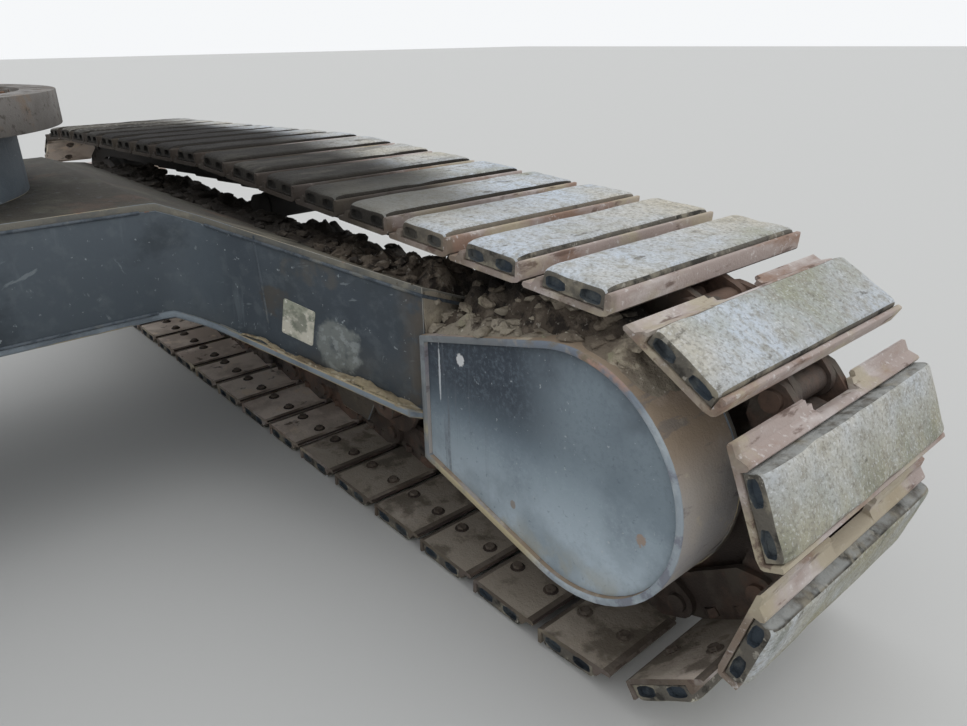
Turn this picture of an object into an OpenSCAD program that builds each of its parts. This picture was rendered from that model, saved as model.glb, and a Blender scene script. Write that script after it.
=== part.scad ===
// Crawler undercarriage of a compact excavator: two track units on an X-shaped car body
// with a slewing ring. X points forwards (the drive sprockets are at the rear), Y to the
// left and Z up. The origin is on the ground under the slewing axis. Sizes are in millimetres.

/* [Track] */
// Number of shoes in each track
shoe_count = 42; // [41:1:45]
// Distance from pin to pin
pitch = 171.5; // [165:0.5:180]
// Width of a shoe across the track
shoe_w = 500; // [450:10:600]
// Thickness of the shoe's steel plate
shoe_t = 9; // [8:0.5:12]
// Clear gap between two neighbouring shoes on the flat
shoe_gap = 2; // [1:0.5:6]
// Height of the steel bar ahead of each pad, above the plate
grouser_h = 15; // [10:1:18]
// Height of a rubber pad above the plate
pad_h = 34; // [28:1:45]
// Length of a rubber pad along the track
pad_len = 124; // [100:1:126]
// Distance from the pin line to the shoe plate
link_seat = 41; // [38:1:50]
// Distance from the pin line to the rail that the rollers run on
link_rail = 45; // [40:1:50]
// Thickness of one rail of the chain
rail_w = 30; // [24:1:32]
// Clear width between the two rails
rail_gap = 84; // [76:1:90]
// Radius of the bushing round each pin
bushing_r = 24; // [20:1:26]
// Height that the carrier roller lifts the upper run above the sprocket
carrier_rise = 45; // [45:1:60]

/* [Drive] */
// Teeth of the sprocket, which meets every second one with a bushing
sprocket_teeth = 19; // [19:2:21]
// Thickness of the sprocket
sprocket_w = 56; // [44:1:64]
// Height of a tooth's tip above the pin line
tooth_tip = 14; // [8:1:18]
// Half the width of a tooth's tip
tooth_half = 6; // [4:0.5:7]
// Radius of the drum of the final drive
hub_r = 150; // [130:1:165]
// Distance from the middle of the track to the drum's outboard face
hub_out = 158; // [140:1:180]
// Radius of the travel motor inside its guard
motor_r = 92; // [80:1:110]

/* [Motor guard] */
// Radius of the round end of the guard
guard_r = 211; // [200:1:220]
// Height of the guard's centre above the drive axle
guard_up = 38; // [20:1:44]
// Distance from the drive axle to the guard's square front end
guard_front = 375; // [360:1:390]
// Height of the guard's front end
guard_front_h = 250; // [220:1:270]
// Distance from the middle of the track to the guard's open rim
guard_face = 262; // [252:1:290]
// Thickness of the guard's band
guard_t = 12; // [8:1:16]
// Depth at which the cover plate lies inside the rim
cover_in = 10; // [6:1:20]
// Thickness of the cover plate
cover_t = 8; // [6:1:12]

/* [Side frame] */
// Distance between the middles of the two tracks
gauge = 1990; // [1940:10:2100]
// Half the width of the side frame
frame_half = 125; // [122:1:130]
// Height of the frame's underside above the ground
frame_low = 222; // [218:1:236]
// Height of the roof's inner edge above the ground, where the car body's top plate meets it
roof_in = 547; // [540:1:550]
// Height of the roof's outer edge above the ground
roof_out = 455; // [440:1:470]
// Thickness of the frame's walls
frame_t = 10; // [8:1:14]
// Thickness of the bottom flanges that carry the rollers
flange_t = 16; // [12:1:20]
// Width of one bottom flange
flange_w = 36; // [30:1:38]
// Thickness of the plate that carries the final drive
mount_t = 25; // [20:1:30]
// Distance from the idler axle back to the closed roof
fork_len = 300; // [290:10:420]
// Distance that the fork's arms reach past the idler axle
fork_out = 82; // [76:2:95]
// Half the height of the fork's arms
fork_half = 68; // [64:1:72]
// Number of track rollers on one side
roller_count = 7; // [5:1:7]
// Distance from the sprocket's pin circle to the nearest roller's axle
roller_margin = 130; // [115:5:150]
// Radius of a track roller's tread
roller_r = 65; // [60:1:66]
// Radius of a track roller's flanges
roller_flange_r = 79; // [74:1:82]
// Radius of the carrier roller
carrier_r = 37; // [33:1:38]
// Place of the carrier roller ahead of the slewing axis
carrier_x = -60; // [-300:10:300]
// Length of a track guide
guide_len = 200; // [160:10:230]
// Height of the track guides' lower edge above the ground
guide_low = 105; // [95:1:120]

/* [Idler] */
// Radius of the idler's hub
idler_hub_r = 42; // [36:1:50]
// Distance from the idler's middle plane to its bearing blocks
block_in = 86; // [82:1:92]
// Length of a bearing block
block_len = 150; // [120:5:160]
// Radius of the recoil spring
spring_r = 60; // [50:1:64]
// Length of the recoil spring
spring_len = 400; // [350:10:450]

/* [Car body] */
// Distance from the slewing axis to the end walls
wall_x = 450; // [440:1:465]
// Distance from the centre plane to the corner where end wall and leg would meet
crotch_y = 545; // [530:5:560]
// Radius of the curve between wall and leg
crotch_r = 110; // [80:5:140]
// Distance from the centre plane to the free corner of each leg
leg_y = 745; // [735:1:760]
// Height of the flat top above the ground
body_top = 698; // [690:1:720]
// Height of the flat underside above the ground
body_low = 453; // [430:1:470]
// Distance from the centre plane to the bends where the plates begin to slope
bend_y = 500; // [480:5:520]
// Drop of the underside from the bend to the side frame
leg_drop_low = 175; // [150:1:190]
// Thickness of the top and bottom plates
skin_t = 16; // [12:1:20]
// Thickness of the upright webs
web_t = 14; // [10:1:18]
// Ledge of the bottom plate outside the web, at the free corner of a leg
ledge = 42; // [20:1:50]

/* [Slewing ring] */
// Height of the pedestal that carries the ring
seat_h = 130; // [120:1:140]
// Thickness of the pedestal's wall
seat_t = 35; // [30:1:40]
// Outer radius of the turning race
race_r = 460; // [455:1:475]
// Width of the turning race from the seam to its outside
race_width = 70; // [65:1:75]
// Clear gap in that seam
seam_gap = 0.8; // [0.5:0.1:1]
// Height of each race
race_h = 70; // [65:1:80]
// Step from the fixed race's underside to the turning race's underside
race_step = 8; // [6:1:12]
// Width of the fixed race from the tooth roots to the seam
race_rim = 60; // [50:1:70]
// Number of bolts that hold the upper structure
ring_bolts = 30; // [24:1:36]
// Radius of one bolt hole
ring_bolt_r = 10; // [8:0.5:12]
// Teeth of the inner gear
gear_teeth = 84; // [72:2:96]
// Depth of the inner gear's teeth
gear_depth = 18; // [12:1:22]
// Radius of the swivel joint in the middle
swivel_r = 90; // [70:1:100]
// Height of the swivel joint above the pedestal
swivel_up = 40; // [30:1:50]
// Radius of the access hole in the bottom plate
access_r = 150; // [120:5:170]

/* [Hidden] */
$fn = 48;

// Clearance of pieces that rest on each other
seat_gap = 0.3;
// Longer than any piece
far = 3000;

// The sprocket has half as many pitches as teeth
turn_pitches = sprocket_teeth / 2;
pitch_r = pitch / 2 / sin(180 / turn_pitches);
axle_span = (shoe_count - turn_pitches) * pitch / 2;
half_span = axle_span / 2;
pin_low = pad_h + shoe_t + link_seat;
axle_z = pin_low + pitch_r;
pin_top = axle_z + pitch_r;
rail_low = pin_low + link_rail;
rail_mid = rail_gap / 2 + rail_w / 2;
chain_half = rail_gap / 2 + rail_w;
carrier_peak = pin_top + carrier_rise;
// The first link of the loop starts this share of a pitch after the top of the sprocket
loop_phase = 0.2546;

function unit(v) = v / norm(v);
function mix(a, b, t) = a + (b - a) * t;
function polar(r, a) = r * [cos(a), sin(a)];
function arc(c, r, a0, a1, n) = [for (i = [0:n]) c + polar(r, a0 + (a1 - a0) * i / n)];
function turn_to(a0, a1) = (a1 - a0 + 540) % 360 - 180;
// Points of a round corner at b, between the lines from a and to c
function corner(a, b, c, r, n = 8) =
    let (u = unit(a - b), v = unit(c - b), half = acos(u * v) / 2, m = b + unit(u + v) * r / sin(half),
         s = b + u * r / tan(half), e = b + v * r / tan(half),
         a0 = atan2(s[1] - m[1], s[0] - m[0]), a1 = atan2(e[1] - m[1], e[0] - m[0]))
    arc(m, r, a0, a0 + turn_to(a0, a1), n);
function flip(points) = [for (i = [len(points) - 1:-1:0]) points[i]];
function scaled(points, sx, sy) = [for (p = points) [p[0] * sx, p[1] * sy]];

// The track's path in pitches from the top of the sprocket
// It takes the rear arc, the lower run, the front arc and the upper run in two straight lines
run_len = axle_span / pitch;
up_a = norm([half_span - carrier_x, carrier_rise]) / pitch;
up_b = norm([half_span + carrier_x, carrier_rise]) / pitch;
path_len = turn_pitches + run_len + up_a + up_b;
function path(u) =
    let (v = (u % path_len + path_len) % path_len, arc_len = turn_pitches / 2, step = 360 / turn_pitches)
    v < arc_len ? [-half_span - pitch_r * sin(v * step), axle_z + pitch_r * cos(v * step)]
    : v < arc_len + run_len ? [-half_span + (v - arc_len) * pitch, pin_low]
    : v < 2 * arc_len + run_len ?
        let (a = (v - arc_len - run_len) * step) [half_span + pitch_r * sin(a), axle_z - pitch_r * cos(a)]
    : v < 2 * arc_len + run_len + up_a ?
        mix([half_span, pin_top], [carrier_x, carrier_peak], (v - 2 * arc_len - run_len) / up_a)
    : mix([carrier_x, carrier_peak], [-half_span, pin_top], (v - 2 * arc_len - run_len - up_a) / up_b);
link_step = path_len / shoe_count;
pins = [for (i = [0:shoe_count - 1]) path((i + loop_phase) * link_step)];

// Puts a side's pieces in place. They are drawn with the track's middle on the X axis
// and the machine's inside at +Y.
module on_right() {
    translate([0, -gauge / 2, 0]) children();
}
module on_left() {
    mirror([0, 1, 0]) on_right() children();
}
// The same piece on both sides of the track's middle
module both_sides() {
    children();
    mirror([0, 1, 0]) children();
}
// Extrudes an X-Z outline from y0 to y1
module slab(y0, y1) {
    translate([0, y1, 0]) rotate([90, 0, 0]) linear_extrude(y1 - y0) children();
}
// Extrudes a Y-Z outline from x0 over the length
module across(x0, length) {
    translate([x0, 0, 0]) rotate([90, 0, 90]) linear_extrude(length) children();
}
// A turned piece about an axle along Y. Each row of the profile is [radius, y].
module turned(x, z, profile) {
    translate([x, 0, z]) rotate([-90, 0, 0]) rotate_extrude() polygon(profile);
}
// Puts an outline on every link: first axis along the track, second axis outwards
module on_links() {
    for (i = [0:shoe_count - 1])
        let (a = pins[i], b = pins[(i + 1) % shoe_count])
        translate((a + b) / 2) rotate(heading(i)) mirror([0, 1]) children();
}
function heading(i) =
    let (a = pins[i % shoe_count], b = pins[(i + 1) % shoe_count]) atan2(b[1] - a[1], b[0] - a[0]);

// Track shoes and pads

// Shift of a pad behind the middle of its shoe, and its distance from the shoe's ends
pad_shift = 15;
pad_margin = 4;
// Slopes of the bar ahead of a pad
bar_back = 5;
bar_front = 12;
pad_at = -pad_len / 2 + pad_shift;
plate_top = link_seat + shoe_t;
module shoes() {
    half = pitch / 2 - shoe_gap / 2;
    color("#6b5a50") slab(-shoe_w / 2, shoe_w / 2) on_links() polygon([
        [-half, link_seat], [half, link_seat], [half, plate_top], [pad_at, plate_top],
        [pad_at - bar_back, plate_top + grouser_h], [pad_at - bar_back - bar_front, plate_top],
        [-half, plate_top]
    ]);
}
module pads() {
    pad_end = pad_at + pad_len;
    pad_top = plate_top + pad_h;
    round = pad_h / 3;
    color("#5f625c") slab(-shoe_w / 2 + pad_margin, shoe_w / 2 - pad_margin) on_links() polygon([
        [pad_at, plate_top], [pad_end, plate_top], [pad_end, pad_top - round], [pad_end - round, pad_top],
        [pad_at + round, pad_top], [pad_at, pad_top - round]
    ]);
}

// Chain

// Corners of a line that keeps an offset from the pin line, at every pin where the loop bends
function loop_line(h) = [
    for (i = [0:shoe_count - 1])
        let (before = heading(i + shoe_count - 1), turn = turn_to(before, heading(i)))
        if (abs(turn) > 0.01) pins[i] + polar(h / cos(turn / 2), before + turn / 2 - 90)
];
module chain() {
    color("#3f3a37") {
        for (y = [-rail_mid, rail_mid])
            slab(y - rail_w / 2, y + rail_w / 2) difference() {
                polygon(loop_line(link_seat - seat_gap));
                polygon(loop_line(-link_rail));
            }
        slab(-rail_gap / 2 + seat_gap, rail_gap / 2 - seat_gap)
            for (p = pins) translate(p) circle(r = bushing_r, $fn = 6);
    }
}

// Drive

drum_wall = 30;
drive_bore = hub_r - drum_wall;
mount_in = frame_half - frame_t - mount_t;
mount_rim = 88;
mount_r = motor_r + mount_rim;
motor_end = guard_face - cover_in - cover_t - 20;
tooth_turn = 360 / sprocket_teeth;
tooth_first = 90 + loop_phase * link_step * 2 * tooth_turn;
// Valley round a bushing in the direction a, then the tooth after it
function tooth(a) =
    let (valley_r = (bushing_r + 1) / cos(22.5), tip_r = pitch_r + tooth_tip,
         tip_turn = asin(tooth_half / tip_r))
    concat([for (t = [-90:45:90]) polar(pitch_r, a) - polar(valley_r, a - t)],
           [for (t = [-tip_turn, tip_turn]) polar(tip_r, a + tooth_turn / 2 + t)]);
module sprocket() {
    color("#4a423c") slab(-sprocket_w / 2, sprocket_w / 2) translate([-half_span, axle_z]) difference() {
        polygon([for (i = [0:sprocket_teeth - 1]) each tooth(tooth_first + i * tooth_turn)]);
        circle(r = drive_bore);
    }
}
module final_drive() {
    edge = sprocket_w / 2 + seat_gap;
    neck = edge + 14;
    color("#39424d") turned(-half_span, axle_z, [
        [0, -hub_out], [hub_r * 0.62, -hub_out], [hub_r * 0.85, -hub_out + 16], [hub_r, -hub_out + 46],
        [hub_r, -edge], [drive_bore - seat_gap, -edge], [drive_bore - seat_gap, neck], [motor_r + 38, neck],
        [motor_r + 38, mount_in - seat_gap], [motor_r, mount_in - seat_gap], [motor_r, motor_end],
        [0, motor_end]
    ]);
}
module drive_mount() {
    color("#3d4a58") slab(mount_in, mount_in + mount_t) translate([-half_span, axle_z]) difference() {
        union() {
            circle(r = mount_r);
            translate([0, -mount_r * 0.6]) square([roof_back + half_span, mount_r * 1.2]);
        }
        circle(r = motor_r + 1);
    }
}

// Motor guard

guard_at = [-half_span + 15, axle_z + guard_up];
// Point where the upper (side 1) or lower (side -1) tangent from p touches a circle about c
function touch(p, c, r, side) =
    let (d = p - c, a = atan2(d[1], d[0]) + side * acos(r / norm(d))) c + polar(r, a);
// The guard's corner above or below, moved inwards by t
function guard_corner(side, t) =
    let (p = [-leg_x, guard_at[1] + side * guard_front_h / 2], q = touch(p, guard_at, guard_r, side),
         u = unit(p - q), s = p - t * unit(q - guard_at))
    s + u * ((-leg_x - t - s[0]) / u[0]);
module guard_shape(t) {
    p = guard_corner(1, t);
    q = guard_corner(-1, t);
    a = touch(p, guard_at, guard_r - t, 1) - guard_at;
    b = touch(q, guard_at, guard_r - t, -1) - guard_at;
    polygon(concat(arc(guard_at, guard_r - t, atan2(a[1], a[0]), atan2(b[1], b[0]) + 360, 36), [q, p]));
}
module motor_guard() {
    color("#46566a") slab(frame_half, guard_face) difference() {
        guard_shape(0);
        guard_shape(guard_t);
    }
}
module guard_cover() {
    y = guard_face - cover_in;
    color("#5b6f85") slab(y - cover_t, y) guard_shape(guard_t);
}

// Idler with its yoke and recoil spring

idler_r = pitch_r * cos(180 / turn_pitches) - link_rail - seat_gap;
idler_rib = 20;
idler_dish = 34;
// Distance from the idler's tread back to the end of the yoke
yoke_reach = 106;
yoke_end = half_span - idler_r - yoke_reach;
module idler() {
    half = chain_half - 2;
    rib = rail_gap / 2 - 4;
    dish_r = idler_r - idler_dish;
    rib_r = idler_r + idler_rib;
    color("#40362f") turned(half_span, axle_z, flip([
        [0, -block_in], [idler_hub_r, -block_in], [idler_hub_r, -half + 8], [dish_r, -half + 8],
        [dish_r, -half], [idler_r, -half], [idler_r, -rib], [rib_r, -rib + 4], [rib_r, rib - 4],
        [idler_r, rib], [idler_r, half], [dish_r, half], [dish_r, half - 8], [idler_hub_r, half - 8],
        [idler_hub_r, block_in], [0, block_in]
    ]));
}
module idler_yoke() {
    block_half = fork_half - 6;
    arm_half = block_half - 18;
    wall = frame_half - frame_t;
    color("#40362f") {
        both_sides() slab(block_in, wall) translate([half_span - block_len / 2, axle_z - block_half])
            square([block_len, 2 * block_half]);
        both_sides() slab(block_in + 4, wall - 4) translate([yoke_end + 20, axle_z - arm_half])
            square([half_span - yoke_end - 20 - block_len / 2, 2 * arm_half]);
        slab(-block_in - 8, block_in + 8) translate([yoke_end, axle_z - block_half + 6])
            square([60, 2 * block_half - 12]);
        translate([yoke_end - spring_len, 0, axle_z]) rotate([0, 90, 0])
            cylinder(r = spring_r, h = spring_len + 10);
    }
}

// Side frame

leg_x = half_span - guard_front;
frame_side = gauge / 2 - frame_half;
// Distances that the inner wall laps the guard and the outer wall clears the drum
wall_lap = 75;
drum_room = 60;
// Distance from the idler axle back to the fork's root
fork_root = 120;
inner_back = -leg_x - wall_lap;
outer_back = -half_span + hub_r + drum_room;
fork_back = half_span - fork_root;
abutment_t = 30;
abutment_x = yoke_end - spring_len - abutment_t;
roof_back = -half_span + pitch_r + 40;
roof_front = half_span - fork_len;
cross_t = 20;
module wall_shape(top, back) {
    polygon([
        [back, frame_low], [fork_back, frame_low], [half_span + fork_out, axle_z - fork_half],
        [half_span + fork_out, axle_z + fork_half], [half_span - 60, axle_z + fork_half], [roof_front, top],
        [back, top]
    ]);
}
// A plate across the frame from a height up to the roof
module cross_plate(x, t, low) {
    across(x, t) polygon([
        [-frame_half, low], [frame_half, low], [frame_half, roof_in], [-frame_half, roof_out]
    ]);
}
module bottom_flange(back, y) {
    translate([back, y, frame_low]) cube([fork_back - back, flange_w, flange_t]);
}
module side_frame() {
    color("#3d4a58") {
        // Inner wall, which reaches back behind the motor guard
        slab(frame_half - frame_t, frame_half) difference() {
            union() {
                wall_shape(roof_in, inner_back);
                guard_shape(0);
            }
            translate([-half_span, axle_z]) circle(r = motor_r + 12);
        }
        slab(-frame_half, -frame_half + frame_t) wall_shape(roof_out, outer_back);
        bottom_flange(inner_back, frame_half - flange_w);
        bottom_flange(outer_back, -frame_half);
        // Sloping roof and the cross plates below it
        across(roof_back, roof_front - roof_back) polygon([
            [-frame_half, roof_out - frame_t], [frame_half, roof_in - frame_t], [frame_half, roof_in],
            [-frame_half, roof_out]
        ]);
        cross_plate(roof_back, cross_t, rollers_top);
        cross_plate(abutment_x, abutment_t, rollers_top);
        cross_plate(roof_front - cross_t, cross_t, axle_z + fork_half + 4);
    }
}

// Rollers and guides

roller_z = rail_low + roller_r + seat_gap;
rollers_top = roller_z + roller_flange_r + 8;
function roller_x(i) =
    let (last = half_span - pitch_r - roller_margin) mix(-last, last, i / (roller_count - 1));
bracket_half = 40;
bracket_low = roller_z - 30;
axle_r = 24;
module track_rollers() {
    tread = chain_half + 3;
    rim = frame_half - flange_w - 3;
    groove = rail_gap / 2 - 2;
    color("#3b3530") for (i = [0:roller_count - 1]) {
        turned(roller_x(i), roller_z, [
            [0, -rim - 6], [axle_r, -rim - 6], [axle_r, -rim], [roller_flange_r, -rim],
            [roller_flange_r, -tread], [roller_r, -tread], [roller_r, -groove], [roller_r - 16, -groove + 10],
            [roller_r - 16, groove - 10], [roller_r, groove], [roller_r, tread],
            [roller_flange_r, tread], [roller_flange_r, rim], [axle_r, rim], [axle_r, rim + 6], [0, rim + 6]
        ]);
        // Bracket under the flange, with its lower corners cut off
        both_sides() slab(rim + 4, frame_half) translate([roller_x(i), bracket_low]) difference() {
            translate([-bracket_half, 0]) square([2 * bracket_half, frame_low - seat_gap - bracket_low]);
            for (t = [-bracket_half, bracket_half]) translate([t, 0]) rotate(45) square(20, center = true);
        }
    }
}
// Plates that hang from the flanges beside the chain, with sloping ends
module track_guides() {
    in = chain_half + 20;
    color("#3d4a58") for (i = [1.5, roller_count - 2.5])
        both_sides() slab(in, in + 12) translate([roller_x(i), 0]) polygon([
            [-guide_len / 2, frame_low], [-guide_len / 2, frame_low - 50], [-guide_len / 2 + 40, guide_low],
            [guide_len / 2 - 40, guide_low], [guide_len / 2, frame_low - 50], [guide_len / 2, frame_low]
        ]);
}
// Height of the upper run's pin line over the carrier roller
over_carrier = min([
    for (i = [0:shoe_count - 1])
        let (a = pins[i], b = pins[(i + 1) % shoe_count])
        if (a[1] > axle_z && b[0] <= carrier_x && a[0] > carrier_x)
            mix(a[1], b[1], (carrier_x - a[0]) / (b[0] - a[0]))
]);
carrier_z = over_carrier - link_rail - 0.8 - carrier_r;
post_t = 26;
post_half = 34;
module carrier_roller() {
    end = chain_half + 2;
    post = frame_half - 22;
    color("#3b3530") {
        turned(carrier_x, carrier_z, [
            [0, -end - 6], [carrier_r * 0.6, -end - 6], [carrier_r * 0.8, -end], [carrier_r, -end],
            [carrier_r, end], [axle_r - 2, end], [axle_r - 2, post], [0, post]
        ]);
        // Post on the roof that holds the roller's axle at one end
        intersection() {
            slab(post - post_t, post) {
                translate([carrier_x, carrier_z]) circle(r = post_half);
                translate([carrier_x - post_half, roof_out]) square([2 * post_half, carrier_z - roof_out]);
            }
            across(carrier_x - post_half, 2 * post_half) polygon([
                [-frame_half, roof_out], [frame_half, roof_in], [frame_half, far], [-frame_half, far]
            ]);
        }
    }
}

// Car body

leg_drop_top = body_top - roof_in;
// Front outline from side frame to side frame. A leg's free corner is moved out by a distance.
function front_line(out) =
    let (half = concat(corner([wall_x, 0], [wall_x, crotch_y], [leg_x, leg_y - out], crotch_r),
                       [[leg_x, leg_y - out], [leg_x, frame_side]]))
    concat(scaled(flip(half), 1, -1), half);
module body_outline(out) {
    polygon(concat(front_line(out), scaled(front_line(out), -1, -1)));
}
// A layer of the body from one height to another, which slopes down outside the bends
module body_layer(z0, drop0, z1, drop1) {
    across(-far / 2, far) polygon([
        [-frame_side, z0 - drop0], [-bend_y, z0], [bend_y, z0], [frame_side, z0 - drop0],
        [frame_side, z1 - drop1], [bend_y, z1], [-bend_y, z1], [-frame_side, z1 - drop1]
    ]);
}
module car_body_top() {
    color("#46566a") intersection() {
        linear_extrude(far) difference() {
            body_outline(0);
            circle(r = gear_root_r - 5, $fn = 96);
        }
        body_layer(body_top - skin_t, leg_drop_top, body_top, leg_drop_top);
    }
}
module car_body_bottom() {
    color("#46566a") intersection() {
        linear_extrude(far) difference() {
            body_outline(ledge);
            circle(r = access_r);
        }
        body_layer(body_low, leg_drop_low, body_low + skin_t, leg_drop_low);
    }
}
function offset_at(points, i, t) =
    let (n = len(points), u = i > 0 ? unit(points[i] - points[i - 1]) : unit(points[1] - points[0]),
         v = i < n - 1 ? unit(points[i + 1] - points[i]) : u, m = unit([-u[1] - v[1], u[0] + v[0]]))
    points[i] + m * t / (m * [-u[1], u[0]]);
// A wall along a line of points, with its thickness to the left
module wall_line(points, t) {
    polygon(concat(points, flip([for (i = [0:len(points) - 1]) offset_at(points, i, t)])));
}
// End wall, its curves, both legs' webs and their end plates in one bent plate
module front_web() {
    color("#46566a") intersection() {
        linear_extrude(far) wall_line(front_line(0), web_t);
        body_layer(body_low + skin_t, leg_drop_low, body_top - skin_t, leg_drop_top);
    }
}

// Slewing ring

seam_r = race_r - race_width;
gear_root_r = seam_r - race_rim;
gear_tip_r = gear_root_r - gear_depth;
ring_bolt_circle = (seam_r + race_r) / 2;
ring_low = body_top + seat_h;
module ring_seat() {
    color("#46566a") translate([0, 0, body_top]) difference() {
        cylinder(r = gear_root_r + seat_t, h = seat_h, $fn = 96);
        translate([0, 0, -1]) cylinder(r = gear_root_r, h = seat_h + 2, $fn = 96);
    }
}
module inner_race() {
    turn = 360 / gear_teeth;
    color("#6d6a66") translate([0, 0, ring_low]) linear_extrude(race_h) difference() {
        circle(r = seam_r - seam_gap / 2, $fn = 96);
        polygon([
            for (i = [0:gear_teeth - 1], p = [[0.14, 0], [0.3, gear_depth], [0.7, gear_depth], [0.86, 0]])
                polar(gear_tip_r + p[1], (i + p[0]) * turn)
        ]);
    }
}
module outer_race() {
    color("#77736e") translate([0, 0, ring_low + race_step]) difference() {
        cylinder(r = race_r, h = race_h, $fn = 96);
        translate([0, 0, -1]) cylinder(r = seam_r + seam_gap / 2, h = race_h + 2, $fn = 96);
        for (i = [0:ring_bolts - 1]) rotate(i * 360 / ring_bolts) translate([ring_bolt_circle, 0, -1])
            cylinder(r = ring_bolt_r, h = race_h + 2, $fn = 16);
    }
}
module swivel_joint() {
    base = body_low + skin_t;
    color("#55504a") translate([0, 0, base]) {
        cylinder(r = access_r + 40, h = 14);
        cylinder(r = swivel_r + 18, h = 60);
        cylinder(r = swivel_r, h = ring_low - base);
        translate([0, 0, ring_low - base]) cylinder(r = swivel_r * 0.7, h = swivel_up);
    }
}

car_body_top();
car_body_bottom();
mirror([1, 0, 0]) front_web();  // car_body_rear_web
front_web();  // car_body_front_web
ring_seat();
inner_race();
outer_race();
swivel_joint();
on_right() side_frame();  // right_side_frame
on_right() drive_mount();  // right_drive_mount
on_right() motor_guard();  // right_motor_guard
on_right() guard_cover();  // right_guard_cover
on_right() final_drive();  // right_final_drive
on_right() sprocket();  // right_sprocket
on_right() idler();  // right_idler
on_right() idler_yoke();  // right_idler_yoke
on_right() track_rollers();  // right_track_rollers
on_right() track_guides();  // right_track_guides
on_right() carrier_roller();  // right_carrier_roller
on_right() chain();  // right_chain
on_right() shoes();  // right_shoes
on_right() pads();  // right_pads
on_left() side_frame();  // left_side_frame
on_left() drive_mount();  // left_drive_mount
on_left() motor_guard();  // left_motor_guard
on_left() guard_cover();  // left_guard_cover
on_left() final_drive();  // left_final_drive
on_left() sprocket();  // left_sprocket
on_left() idler();  // left_idler
on_left() idler_yoke();  // left_idler_yoke
on_left() track_rollers();  // left_track_rollers
on_left() track_guides();  // left_track_guides
on_left() carrier_roller();  // left_carrier_roller
on_left() chain();  // left_chain
on_left() shoes();  // left_shoes
on_left() pads();  // left_pads
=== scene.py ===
import math
import random
import bpy
import bmesh
from mathutils import Matrix, Vector, noise
from mathutils.bvhtree import BVHTree


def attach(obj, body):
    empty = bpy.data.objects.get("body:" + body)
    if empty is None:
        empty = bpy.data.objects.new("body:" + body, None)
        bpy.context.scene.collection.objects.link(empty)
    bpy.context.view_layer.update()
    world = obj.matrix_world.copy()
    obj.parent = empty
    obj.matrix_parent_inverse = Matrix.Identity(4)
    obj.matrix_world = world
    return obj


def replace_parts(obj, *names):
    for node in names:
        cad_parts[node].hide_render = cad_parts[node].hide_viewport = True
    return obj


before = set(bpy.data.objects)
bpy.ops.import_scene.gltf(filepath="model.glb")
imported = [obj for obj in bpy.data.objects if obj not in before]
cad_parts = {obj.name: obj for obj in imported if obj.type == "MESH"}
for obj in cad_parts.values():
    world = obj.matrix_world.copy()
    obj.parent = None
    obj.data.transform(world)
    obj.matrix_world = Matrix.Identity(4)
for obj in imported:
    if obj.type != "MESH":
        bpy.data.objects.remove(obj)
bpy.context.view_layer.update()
scene = bpy.context.scene

# Camera: it stands close behind the machine on its middle plane, about a metre up, and looks
# forwards and down at the right-hand track.
camera_data = bpy.data.cameras.new("camera")
camera_data.lens = 27.92
camera_data.sensor_width = 36
camera_data.clip_start = 0.05
camera = bpy.data.objects.new("camera", camera_data)
scene.collection.objects.link(camera)
scene.camera = camera
camera_place = (-2.035, -0.007, 0.997)
yaw, pitch, roll = 0.7123, 0.4104, -0.0139
ahead = Vector((math.cos(pitch) * math.cos(yaw), -math.cos(pitch) * math.sin(yaw), -math.sin(pitch)))
across = Vector((-math.sin(yaw), -math.cos(yaw), 0))
above = across.cross(ahead)
side = across * math.cos(roll) + above * math.sin(roll)
top = above * math.cos(roll) - across * math.sin(roll)
aim = Matrix((side, top, -ahead)).transposed().to_4x4()
camera.matrix_world = Matrix.Translation(camera_place) @ aim

# Light and floor: an even pale room with one very soft lamp overhead. The floor is a plain pale
# sheet that reaches far out on every side.
world = bpy.data.worlds.new("room")
scene.world = world
world.use_nodes = True
room_light = world.node_tree.nodes["Background"].inputs
room_light["Color"].default_value = (0.97, 0.985, 1, 1)
room_light["Strength"].default_value = 0.95
lamp_data = bpy.data.lights.new("overhead", "SUN")
lamp_data.energy = 0.45
lamp_data.angle = 1.1
lamp = bpy.data.objects.new("overhead", lamp_data)
lamp.rotation_euler = (0.35, -0.25, 0)
scene.collection.objects.link(lamp)
scene.view_settings.view_transform = "Standard"
floor_reach = 60
floor_sheet = bmesh.new()
bmesh.ops.create_grid(floor_sheet, x_segments=1, y_segments=1, size=floor_reach)
floor_mesh = bpy.data.meshes.new("floor")
floor_sheet.to_mesh(floor_mesh)
floor_sheet.free()
floor = bpy.data.objects.new("floor", floor_mesh)
scene.collection.objects.link(floor)
floor_paint = bpy.data.materials.new("floor_paint")
floor_paint.use_nodes = True
floor_finish = floor_paint.node_tree.nodes["Principled BSDF"].inputs
floor_finish["Base Color"].default_value = (0.55, 0.55, 0.54, 1)
floor_finish["Roughness"].default_value = 0.9
floor_mesh.materials.append(floor_paint)


# Car body: a welded steel box with four legs, painted slate grey. The paint is scuffed and
# streaked on the upright webs, and dust lies on whatever faces up.
def tone(red, green, blue):
    """A colour for the shader, from its red, green and blue out of 255."""
    return tuple(((c / 255 + 0.055) / 1.055) ** 2.4 for c in (red, green, blue)) + (1,)


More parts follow.
